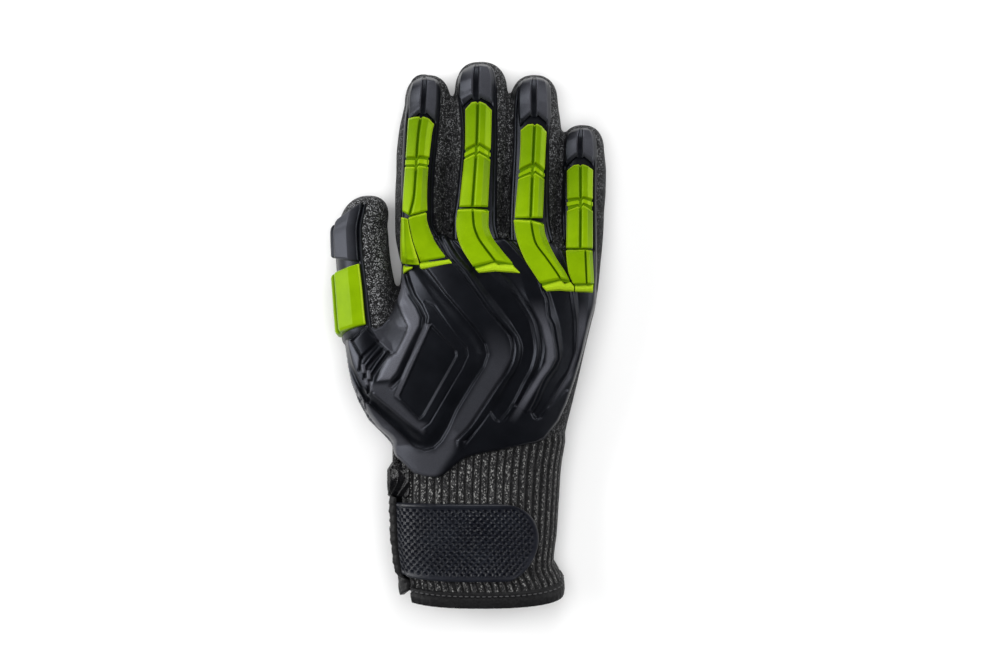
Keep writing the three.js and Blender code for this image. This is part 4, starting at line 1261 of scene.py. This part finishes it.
for finger in FINGERS:
    finger_rail(finger)
    finger_cap(finger)
    finger_pads(finger)
    knuckle_pad(finger)
moulded_pad(
    "index_knuckle_fin", "index_pad_knuckle", over_back, INDEX_FIN, ((218, 218.5, 219.5), PLAIN_END),
    ((263.4, 264.4, 265.6), PLAIN_END), FIN_PROFILE, PAD_HEIGHT, 0.3, 20, FIN_PAINTED_LIGHT_DRIFT, 0.0,
)
knuckle_bar("index_fin_foot", FIN_FOOT, "index_pad_knuckle")


# Thumb

def raised(profile, height):
    return [(share, lift * height) for share, lift in profile]


def thumb_patch(name, ends, half, profile, base, below, material, slot, replaced):
    """Piece of the thumb's guard between two slanted ends, across the given half angle."""
    limb = LIMBS["thumb"]
    u, lift = columns_of(profile)
    v = np.concatenate([[0, 0.02, 0.06], np.linspace(0.12, 0.88, 26), [0.94, 0.98, 1.0]])[:, None]
    low_y, top_y = (chart_y(np.interp(u, [-1, 1], end)) / GLOVE_LENGTH for end in ends)
    share = low_y + (top_y - low_y) * v
    angles = THUMB["roll"] - u * half
    rise = np.interp(v, [0, 0.02, 0.06, 0.94, 0.98, 1.0], [0.5, 0.85, 1, 1, 0.85, 0.5])
    high = place(limb, share, angles, base + lift * rise)
    low = place(limb, share, angles, below)
    piece = mesh_piece(name, *grid_shell(low, high), material, slot, replaced, 18.0)
    # Painted light and shade on the thumb's green pad, and painted sheen on the facets of its black end cap.
    if material is GUARD_GREEN:
        give_attribute(piece, PAD_LIGHT_AND_SHADE, painted_pad_light_and_shade(u[0], lift[0] / lift.max(), v[:, 0]))
    elif name == "thumb_end_cap":
        painted_cap_sheen = ((u > -0.15) & (u < 0.88)) * 0.24 * np.ones_like(v)
        give_attribute(piece, PAINTED_SHEEN, np.concatenate([0 * painted_cap_sheen, painted_cap_sheen]))
    bevelled(piece, 0.2)


thumb_patch(
    "thumb_guard_rail", THUMB["rail"], THUMB["rail_half"], THUMB_RAIL_ROOF, 0.0, EMBED,
    GUARD_BLACK, "guard_black", ["thumb_rail"],
)
thumb_patch(
    "thumb_end_cap", THUMB["cap"], THUMB["pad_half"], raised(THUMB_ROOF, CAP_HEIGHT), RAIL_THICKNESS, 0.2,
    GUARD_BLACK, "guard_black", ["thumb_rail"],
)
thumb_patch(
    "thumb_green_pad", THUMB["pad"], THUMB["pad_half"], raised(THUMB_ROOF, PAD_HEIGHT), RAIL_THICKNESS, 0.7,
    GUARD_GREEN, "guard_green", ["thumb_pad"],
)

# Back plate

PLATE_STEP = 0.4
# Mesh of the underside: step, and the nearest and farthest distance from the outline, in millimetres.
UNDER_STEPS = [(0.6, 0.3, 4.0), (2.5, 4.0, 1e3)]


def inside_outline(x, y, outline):
    inside = np.zeros(x.shape, bool)
    for (ax, ay), (bx, by) in zip(outline, np.roll(outline, -1, axis=0)):
        crosses = (ay > y) != (by > y)
        inside ^= crosses & (x < ax + (y - ay) * (bx - ax) / (by - ay if by != ay else 1.0))
    return inside


def nearest_on(x, y, line):
    """Distance to a line of points, and the nearest place on it."""
    best = np.full(x.shape, 1e9)
    near = np.stack([x, y], axis=-1)
    for a, b in zip(line[:-1], line[1:]):
        ab = b - a
        t = np.clip(((x - a[0]) * ab[0] + (y - a[1]) * ab[1]) / max(ab @ ab, 1e-9), 0, 1)
        qx, qy = a[0] + t * ab[0], a[1] + t * ab[1]
        gap = np.hypot(x - qx, y - qy)
        closer = gap < best
        best = np.where(closer, gap, best)
        near[closer, 0], near[closer, 1] = qx[closer], qy[closer]
    return best, near


def gap_inside(x, y, outline):
    """Distance to an outline, positive inside and negative outside."""
    outline = np.asarray(outline, float)
    gap, _ = nearest_on(x, y, np.concatenate([outline, outline[:1]]))
    return np.where(inside_outline(x, y, outline), gap, -gap)


def flow_relief(px, py):
    """Relief right of the crease, row by row, between the plate's flowing lines."""
    knots = np.concatenate([smooth_table(rows, py[:, 0]) for _, rows in PLATE_LINES], axis=1)
    knots = np.maximum.accumulate(knots + 1e-3 * np.arange(knots.shape[1]), axis=1)
    heights = [height for lines, _ in PLATE_LINES for _, height in lines]
    rows = np.stack([np.interp(px[k], knots[k], heights) for k in range(len(px))])
    rows = rows + (PLATE_LOW - rows) * ease((py - 437) / 15)
    return rows + (PLATE_LOW - rows) * ease(gap_inside(px, py, LOWER_PLATE) / 2.6 + 0.4)


def plate_relief(px, py):
    """Height of the plate's relief over its floor at pixel places on the chart, in millimetres."""
    block = gap_inside(px, py, PLATE_BLOCK)
    crown = 0.25 + 1.25 * ease((block - 1.5) / 11)
    relief = np.where(block > 0, crown, flow_relief(px, py) * ease(-block / 2.4) + 0.2)
    saddle = gap_inside(px, py, SADDLE_RIM)
    relief += np.where(saddle > 0, 0.8 * quarter_round(saddle / 5), 0)
    dish = gap_inside(px, py, WEB_DISH)
    relief += np.where(dish > 0, -0.3 - 0.8 * ease(dish / 9), 0)
    recess = gap_inside(px, py, LABEL_RECESS)
    relief += -1.25 * ease((recess + 0.4) / 1.6)
    bevel = gap_inside(px, py, LABEL_BEVEL)
    strip_start, strip_end = np.array(LABEL_BEVEL[0], float), np.array(LABEL_BEVEL[-1], float)
    along, _ = nearest_on(px, py, np.stack([strip_start, strip_end]))
    relief += np.where(bevel > 0, -1.1 * np.clip(along / 6.3, 0, 1), 0)
    for depth, half, points in PLATE_STROKES:
        gap, _ = nearest_on(px, py, np.asarray(points, float))
        relief += depth * ease(1.25 * (1 - gap / half))
    return relief


# Painted sheen on the plate: parts whose colour is lightened where they would catch the light: how much, width in
# pixels of the soft edge, y in pixels where the tone starts, is full, wanes and ends, and the outline in pixels.
PAINTED_SHEEN_PARTS = [
    (0.7, 3.0, None, SADDLE_RIM),
    (0.2, 4.0, None, WEB_DISH),
    (0.55, 4.0, None, [(400, 262), (404, 268), (405, 280), (410.5, 294), (401.6, 300), (396, 290)]),
    (0.28, 9.0, None, [
        (346, 386), (366, 401), (388, 421), (409, 441), (421, 449), (434, 449), (443, 441), (452, 424),
        (462, 430),
        (455, 452), (440, 474), (426, 484), (408, 480), (396, 466), (384, 452), (366, 436), (348, 410),
    ]),
    (0.17, 8.0, (318, 372, 425, 455), [
        (478, 318), (487, 343), (490, 354), (484, 368), (460, 408), (444, 434), (456, 446), (480, 412),
        (500, 382),
        (512, 358), (511, 345), (500, 324), (486, 300),
    ]),
    (0.55, 3.5, (296, 338, 385, 427), [
        (528, 288), (541, 288), (546, 316), (553, 338), (555, 357), (550, 368), (541, 380), (515, 424),
        (508, 420),
        (534, 380), (545, 362), (546, 349), (541, 326), (529, 302),
    ]),
    (0.45, 3.5, (296, 330, 375, 414), [
        (579, 290), (590, 290), (585, 330), (578, 356), (571, 378), (548, 412), (545, 409), (566, 376),
        (576, 350),
    ]),
    (0.22, 5.0, None, [
        (368, 383), (395, 383), (400, 380), (396, 397), (419, 420), (428, 422), (424, 434), (404, 419),
        (372, 392),
    ]),
    (0.4, 1.4, None, LABEL_BEVEL),
    (0.5, 2.0, None, [(346.5, 340), (352, 341), (360, 359), (359, 371)]),
    (0.6, 1.2, None, [(361.6, 364), (365.6, 364), (367, 373), (363, 373)]),
    (0.6, 1.2, None, [(367, 370), (371, 370), (372, 379), (368, 379)]),
    (0.5, 1.2, None, [(364, 378), (368, 378), (370, 385), (366, 385)]),
    (0.5, 1.2, None, [(370, 381), (374, 381), (374.6, 391), (370.6, 391)]),
    (0.4, 2.5, None, [(342, 342), (346, 342), (352, 372), (363, 398), (356, 402), (346, 372)]),
]


def painted_sheen_tone(px, py):
    """How much painted sheen lightens the plate's colour at pixel places on the chart."""
    tone = np.zeros(np.broadcast(px, py).shape)
    for amount, edge, fade, outline in PAINTED_SHEEN_PARTS:
        part = amount * ease(gap_inside(px, py, outline) / edge + 0.3)
        if fade:
            start, full, wane, end = fade
            part = part * ease((py - start) / (full - start)) * ease((end - py) / (end - wane))
        tone = np.maximum(tone, part)
    return tone


def hand_plate():
    outline_x, outline_y = np.array(PLATE_OUTLINE, float).T
    outline = np.stack([chart_x(outline_x), chart_y(outline_y)], axis=1)
    closed = np.concatenate([outline, outline[:1]])
    x, y = np.meshgrid(
        np.arange(outline[:, 0].min() - 1, outline[:, 0].max() + 1, PLATE_STEP),
        np.arange(outline[:, 1].min() - 1, outline[:, 1].max() + 1, PLATE_STEP),
    )
    gap, near = nearest_on(x, y, closed)
    relief = plate_relief(photo_x(x), photo_y(y))
    snap = gap < 0.55 * PLATE_STEP
    kept = inside_outline(x, y, outline) | snap
    x, y = np.where(snap, near[..., 0], x), np.where(snap, near[..., 1], y)
    gap = np.where(snap, 0, gap)
    cell = kept[:-1, :-1] & kept[:-1, 1:] & kept[1:, 1:] & kept[1:, :-1]
    cell &= inside_outline((x[:-1, :-1] + x[1:, 1:]) / 2, (y[:-1, :-1] + y[1:, 1:]) / 2, outline)
    edge = quarter_round(gap / 1.5)
    high = over_back(x, y, 0.5 + 0.6 * edge + relief * edge).reshape(-1, 3)
    # Painted sheen at the plate's top points, lightening the rubber's colour where it would catch the light.
    painted_sheen = painted_sheen_tone(photo_x(x), photo_y(y)).ravel()
    index = np.arange(x.size).reshape(x.shape)
    a, b, c, d = index[:-1, :-1][cell], index[:-1, 1:][cell], index[1:, 1:][cell], index[1:, :-1][cell]
    top = np.stack([a, b, c, d], axis=1)
    sides = np.concatenate([top[:, [0, 1]], top[:, [1, 2]], top[:, [2, 3]], top[:, [3, 0]]])
    known = {tuple(side) for side in sides.tolist()}
    rim = [side for side in known if side[::-1] not in known]
    rim_points = sorted({k for side in rim for k in side})
    used = np.unique(top)
    place_of = {int(k): n for n, k in enumerate(used)}
    points, faces = high[used].tolist(), [[place_of[k] for k in quad] for quad in top.tolist()]
    plan = [Vector(high[k][:2]) for k in rim_points]
    for step, nearest, farthest in UNDER_STEPS:
        ux, uy = np.meshgrid(
            np.arange(outline[:, 0].min(), outline[:, 0].max(), step),
            np.arange(outline[:, 1].min(), outline[:, 1].max(), step),
        )
        under_gap, _ = nearest_on(ux, uy, closed)
        within = inside_outline(ux, uy, outline) & (under_gap > nearest) & (under_gap <= farthest)
        plan += [Vector(p) for p in np.stack([ux[within], uy[within]], axis=1)]
    number = {k: n for n, k in enumerate(rim_points)}
    borders = [(number[p], number[q]) for p, q in rim]
    filled = mathutils.geometry.delaunay_2d_cdt(plan, borders, [], 1, 1e-7)
    plan_points, _, plan_faces, origins, _, _ = filled
    flat = np.array([tuple(p) for p in plan_points])
    under = over_back(flat[:, 0], flat[:, 1], EMBED)
    start = len(points)
    points += under.tolist()
    lower = {}
    for n, sources in enumerate(origins):
        for source in sources:
            if source < len(rim_points):
                lower[rim_points[source]] = start + n
    centres = np.array([flat[list(face)].mean(axis=0) for face in plan_faces])
    keep = inside_outline(centres[:, 0], centres[:, 1], outline)
    faces += [[start + k for k in reversed(face)] for face, good in zip(plan_faces, keep) if good]
    faces += [[place_of[q], place_of[p], lower[p], lower[q]] for p, q in rim]
    points = np.array(points)
    piece = mesh_piece("back_plate", points, faces, GUARD_BLACK, "guard_black", ["hand_plate"], None)
    give_attribute(piece, PAINTED_SHEEN, np.concatenate([painted_sheen[used], np.zeros(len(points) - len(used))]))


hand_plate()

# Cuff closure

DIMPLE_PITCH = 3.3
DIMPLE_DEPTH = 1.15
STRAP_RIM = 2.2
STRAP_STEP = 0.36
# Degrees round the cuff that the binding of the slit's front edge takes up.
EDGE_TURN = 7.0


def dimples(along, across):
    """Depth, 0 to 1, of the strap's staggered pattern of oval dimples."""
    depth = np.zeros(np.broadcast(along, across).shape)
    for shift in (0.0, 0.5):
        a = (along / DIMPLE_PITCH + shift) % 1.0 - 0.5
        b = (across / DIMPLE_PITCH + shift) % 1.0 - 0.5
        depth = np.maximum(depth, ease((1 - np.hypot(a / 0.31, b / 0.27)) * 2.2))
    return depth


def strap_outline(across):
    """Angle where the strap's rounded end stops, at a share of its half width."""
    return STRAP["end"] + STRAP["round"] * (1 - np.sqrt(np.clip(1 - across**2, 0, 1)))


def wrist_strap():
    centre, half = (STRAP["low"] + STRAP["high"]) / 2, (STRAP["high"] - STRAP["low"]) / 2
    v = np.linspace(-1, 1, int(2 * half * GLOVE_LENGTH / STRAP_STEP))[:, None]
    middle = place(PALM, centre, np.linspace(STRAP["start"], STRAP["end"], 200), 2.0)
    length = np.linalg.norm(np.diff(middle, axis=0), axis=1).sum()
    t = np.linspace(0, 1, int(length / STRAP_STEP))[None, :]
    angles = STRAP["start"] + (strap_outline(v) - STRAP["start"]) * t
    share = centre + v * half
    over = np.interp(angles, [STRAP["step"], STRAP["step"] + 6], [1.5, 0.6])
    flat = place(PALM, share, angles, 2.0)
    along = np.cumsum(np.linalg.norm(np.diff(flat, axis=1, prepend=flat[:, :1]), axis=2), axis=1)
    to_end = along[:, -1:] - along
    to_side = (1 - np.abs(v)) * half * GLOVE_LENGTH
    gap = np.minimum(np.minimum(to_end, to_side), along)
    rounded = quarter_round(gap / 1.1)
    rim = 1 - 0.16 * ease((gap - STRAP_RIM + 0.5) / 0.5)
    field = ease((gap - STRAP_RIM - 0.2) / 0.7)
    pattern = dimples(along - along[len(v) // 2, -1], v * half * GLOVE_LENGTH) * field
    thick = STRAP_THICKNESS * (0.45 + 0.55 * rounded) * rim - DIMPLE_DEPTH * pattern
    high = place(PALM, share, angles, over + thick)
    low = place(PALM, share, angles, over - 0.9)
    mesh_piece("wrist_strap", *grid_shell(low, high), STRAP_RUBBER, "strap_rubber", ["cuff_strap"], 50.0)


wrist_strap()


def cuff_hem():
    angles = np.linspace(SLIT["rear"] + 1, 360 + SLIT["front"] - 1, 260)
    lip = HEM["low"] - 0.4 / GLOVE_LENGTH
    reach = 1.2 / GLOVE_LENGTH
    profile = [
        (HEM["high"], 0.6), (HEM["high"], 1.5), (HEM["high"] - reach, 1.9), (HEM["high"] - 2 * reach, 1.35),
        (HEM["low"] + 2.4 * reach, 1.9), (HEM["low"] + reach, 1.8), (lip - reach, 1.2),
        (lip - 1.4 * reach, -0.6), (lip - reach, -2.6), (HEM["low"] + reach, -3.6),
        (HEM["high"] - reach, -3.6), (HEM["high"], -3.2), (HEM["high"], -2.4),
        (HEM["low"], -2.2), (HEM["low"], 0.4),
    ]
    shares = np.array([p[0] for p in profile])
    offsets = np.array([p[1] for p in profile])
    outer = (offsets > 1.0)[None, :]
    wrinkle = 0.06 * (np.sin(angles * 0.9) + np.sin(angles * 2.3 + 1) + np.sin(angles * 5.1 + 2))[:, None]
    rings = place(PALM, shares[None, :], angles[:, None], offsets[None, :] + np.where(outer, wrinkle, 0))
    mesh_piece("cuff_hem", *ring_tube(rings), BINDING, "binding", ["hem_binding"], 60.0)


cuff_hem()


def front_slit_edge():
    start = SLIT["front"] - 0.5
    angles = np.linspace(start, start - EDGE_TURN, 14)[None, :]
    v = np.linspace(0, 1, 90)[:, None]
    head, foot = STRAP["high"] + 0.008, HEM["high"] + 0.002
    shares = foot + (head - foot) * v
    crown = np.sqrt(np.clip(1 - np.linspace(-1, 1, 14) ** 2, 0.05, 1))[None, :]
    wrinkle = 0.12 * np.sin(v * 61) + 0.1 * np.sin(v * 23 + 1)
    high = place(PALM, shares, angles, 0.6 + (BINDING_THICKNESS + wrinkle) * crown)
    low = place(PALM, shares, angles, -0.3)
    mesh_piece("front_slit_edge", *grid_shell(low, high), BINDING, "binding", ["slit_binding_front"], 60.0)


front_slit_edge()


def rear_flap():
    """Bound flap along the rear of the slit, folded over the strap's end, with a pointed foot."""
    t = np.linspace(0, 1, 22)[None, :]
    v = np.linspace(0, 1, 120)[:, None]
    angles = FLAP["front"] + (SLIT["rear"] + 6 - FLAP["front"]) * t
    foot = FLAP["foot"] + FLAP["point"] * np.abs(t - 0.35) * 2
    head = FLAP["head"] - 0.012 * np.abs(t - 0.4) * 2
    shares = foot + (head - foot) * v
    over_strap = ease((FLAP["front"] + 17 - angles) / 11) * ease((shares - STRAP["low"] + 0.014) / 0.012)
    crown = np.sqrt(np.clip(1 - (2 * t - 1) ** 4, 0.05, 1))
    wrinkle = 0.22 * np.sin(v * 61 + 4 * t) + 0.16 * np.sin(v * 23 + 1) + 0.1 * np.sin(v * 131 - 5 * t)
    high = place(PALM, shares, angles, 0.8 + 2.4 * over_strap + (BINDING_THICKNESS + wrinkle) * crown)
    low = place(PALM, shares, angles, 0.2 + 2.4 * over_strap)
    mesh_piece("rear_flap", *grid_shell(low, high), BINDING, "binding", ["slit_binding_rear"], 60.0)


rear_flap()


# Thickness of the gusset's cloth, in millimetres.
GUSSET_THICKNESS = 0.7


def gathered_gusset():
    """Thin cloth gathered in the slit, which spills out over the knit above the strap."""
    columns, rows = 130, 110
    t = np.linspace(0, 1, columns)[None, :]
    v = np.linspace(0, 1, rows)[:, None]
    foot, head = HEM["high"] + 0.003, SLIT["head"] + 0.004
    shares = foot + (head - foot) * v
    spill = ease((shares - STRAP["high"] - 0.002) / 0.012)
    front = SLIT["front"] + 1 - 11.5 * spill
    rear = SLIT["rear"] - 1 + 5 * spill
    angles = front + (rear - front) * t
    slant = t * 4.5 + v * 3.4 + 0.4 * np.sin(v * 9) + 0.22 * np.sin(v * 23 + t * 3)
    crease = 1 - 2 * np.abs((slant % 1.0) - 0.5) ** 0.8 * 1.7
    calm = np.sin(math.pi * np.clip(t, 0.02, 0.98)) ** 0.5
    fold = (0.95 + 0.35 * spill) * crease * calm
    base = -1.0 + 2.9 * spill * np.clip((1.02 - v) / 0.08, 0.25, 1)
    high = place(PALM, shares, angles, base + fold)
    low = place(PALM, shares, angles, base + fold - GUSSET_THICKNESS)
    piece = mesh_piece("gathered_gusset", *grid_shell(low, high), GUSSET, "gusset_fabric", ["gusset"], None)


gathered_gusset()

STITCH = {"pitch": 2.7, "length": 1.9, "radius": 0.3}


def stitch_mesh():
    """One stitch of thread lying along X."""
    t = np.linspace(-1, 1, 7)
    turn = np.linspace(0, 2 * math.pi, 9)[:-1]
    radius = STITCH["radius"] * np.sqrt(np.clip(1 - t**4, 0.03, 1))
    x = np.broadcast_to((t * STITCH["length"] / 2)[:, None], (7, 8))
    rings = np.stack([x, radius[:, None] * np.cos(turn), radius[:, None] * np.sin(turn)], axis=-1)
    points, faces = ring_tube(rings)
    mesh = bpy.data.meshes.new("stitch")
    mesh.from_pydata((points * METRE).tolist(), [], faces)
    mesh.shade_smooth()
    return bpy.data.objects.new("stitch", mesh)


def stitch_tree(stitch):
    """Geometry Nodes: the stitch repeated along a path at an even pitch, turned to follow it."""
    tree = bpy.data.node_groups.new("stitch_row", "GeometryNodeTree")
    tree.interface.new_socket("Path", in_out="INPUT", socket_type="NodeSocketGeometry")
    pitch = tree.interface.new_socket("Pitch", in_out="INPUT", socket_type="NodeSocketFloat")
    tree.interface.new_socket("Stitches", in_out="OUTPUT", socket_type="NodeSocketGeometry")
    start, end = node(tree, "NodeGroupInput"), node(tree, "NodeGroupOutput")
    to_curve = node(tree, "GeometryNodeMeshToCurve")
    to_points = node(tree, "GeometryNodeCurveToPoints", mode="LENGTH")
    source = node(tree, "GeometryNodeObjectInfo")
    source.inputs["Object"].default_value = stitch
    repeat = node(tree, "GeometryNodeInstanceOnPoints")
    align = node(tree, "FunctionNodeAlignEulerToVector", axis="X")
    whole = node(tree, "GeometryNodeRealizeInstances")
    finish = node(tree, "GeometryNodeSetMaterial")
    finish.inputs["Material"].default_value = THREAD
    links = tree.links
    links.new(start.outputs["Path"], to_curve.inputs["Mesh"])
    links.new(to_curve.outputs["Curve"], to_points.inputs["Curve"])
    links.new(start.outputs["Pitch"], to_points.inputs["Length"])
    links.new(to_points.outputs["Points"], repeat.inputs["Points"])
    links.new(source.outputs["Geometry"], repeat.inputs["Instance"])
    links.new(to_points.outputs["Tangent"], align.inputs["Vector"])
    links.new(align.outputs["Rotation"], repeat.inputs["Rotation"])
    links.new(repeat.outputs["Instances"], whole.inputs["Geometry"])
    links.new(whole.outputs["Geometry"], finish.inputs["Geometry"])
    links.new(finish.outputs["Geometry"], end.inputs["Stitches"])
    return tree, pitch.identifier


def stitch_row(name, path, tree, pitch_socket):
    mesh = bpy.data.meshes.new(name)
    mesh.from_pydata((path * METRE).tolist(), [(k, k + 1) for k in range(len(path) - 1)], [])
    piece = add_object(name, mesh)
    nodes = piece.modifiers.new("stitches", "NODES")
    nodes.node_group = tree
    nodes[pitch_socket] = STITCH["pitch"] * METRE
    bake(piece)
    dress(piece, THREAD, smooth_angle=None)


def stitch_rows():
    stitch = stitch_mesh()
    tree, pitch_socket = stitch_tree(stitch)
    round_cuff = np.linspace(SLIT["rear"] + 3, 360 + SLIT["front"] - 3, 300)
    hem_line = place(PALM, HEM["high"] - 1.6 / GLOVE_LENGTH, round_cuff, 1.85)
    hem_line[:, 2] = np.maximum(hem_line[:, 2], STITCH["radius"])
    stitch_row("hem_stitches", hem_line, tree, pitch_socket)
    up_slit = np.linspace(HEM["high"] + 0.01, STRAP["low"] - 0.002, 40)
    stitch_row("front_slit_stitches", place(PALM, up_slit, SLIT["front"] - 6.0, 1.75), tree, pitch_socket)
    bpy.data.node_groups.remove(tree)
    bpy.data.objects.remove(stitch)


stitch_rows()

# Floor, lights and camera


def floor():
    mesh = bpy.data.meshes.new("floor")
    mesh.from_pydata([(-3, -3, 0), (3, -3, 0), (3, 3, 0), (-3, 3, 0)], [], [(0, 1, 2, 3)])
    piece = add_object("floor", mesh)
    material, tree, shader = new_material("pale_floor")
    tone = noise(tree, object_space(tree), 3.0, 2.0)
    tree.links.new(
        ramp(tree, tone, [(0.3, (0.86, 0.86, 0.86)), (0.7, (0.88, 0.88, 0.88))]), shader.inputs["Base Color"]
    )
    shader.inputs["Roughness"].default_value = 0.8
    mesh.materials.append(material)


floor()


# Soft boxes aimed at the origin: name, place and side in metres, power, whether the glove mirrors it.
SOFT_BOXES = [
    ("left_box", (-1.25, 0.15, 0.62), 0.9, 17.0, True),
    ("right_box", (1.3, 0.3, 0.6), 0.8, 9.0, True),
    ("far_box", (0.1, 1.25, 0.6), 0.7, 8.0, True),
    ("overhead_fill", (0, 0, 2.1), 2.2, 44.0, False),
]
WORLD_STRENGTH = 0.06


def soft_light(name, place_m, size, power, mirrored):
    """Square soft box; one that isn't mirrored lights the glove without showing as a gloss on it."""
    data = bpy.data.lights.new(name, "AREA")
    data.shape = "SQUARE"
    data.size = size
    data.energy = power
    lamp = add_object(name, data)
    lamp.location = place_m
    lamp.rotation_euler = (-Vector(place_m)).to_track_quat("-Z", "Y").to_euler()
    lamp.visible_glossy = mirrored


for box in SOFT_BOXES:
    soft_light(*box)

world = bpy.data.worlds.new("studio")
bpy.context.scene.world = world
world.use_nodes = True
world.node_tree.nodes["Background"].inputs["Color"].default_value = (1, 1, 1, 1)
world.node_tree.nodes["Background"].inputs["Strength"].default_value = WORLD_STRENGTH
bpy.context.scene.view_settings.view_transform = "Standard"

CAMERA_DISTANCE = 1.5
FOCUS_HEIGHT = 0.02
FRAME_WIDTH = 1000 * PIXEL * METRE
camera_data = bpy.data.cameras.new("camera")
camera_data.sensor_width = 36.0
camera_data.lens = camera_data.sensor_width * CAMERA_DISTANCE / FRAME_WIDTH
camera = add_object("camera", camera_data)
camera.location = (
    float(chart_x(500)) * METRE, float(chart_y(333.5)) * METRE, FOCUS_HEIGHT + CAMERA_DISTANCE
)
bpy.context.scene.camera = camera
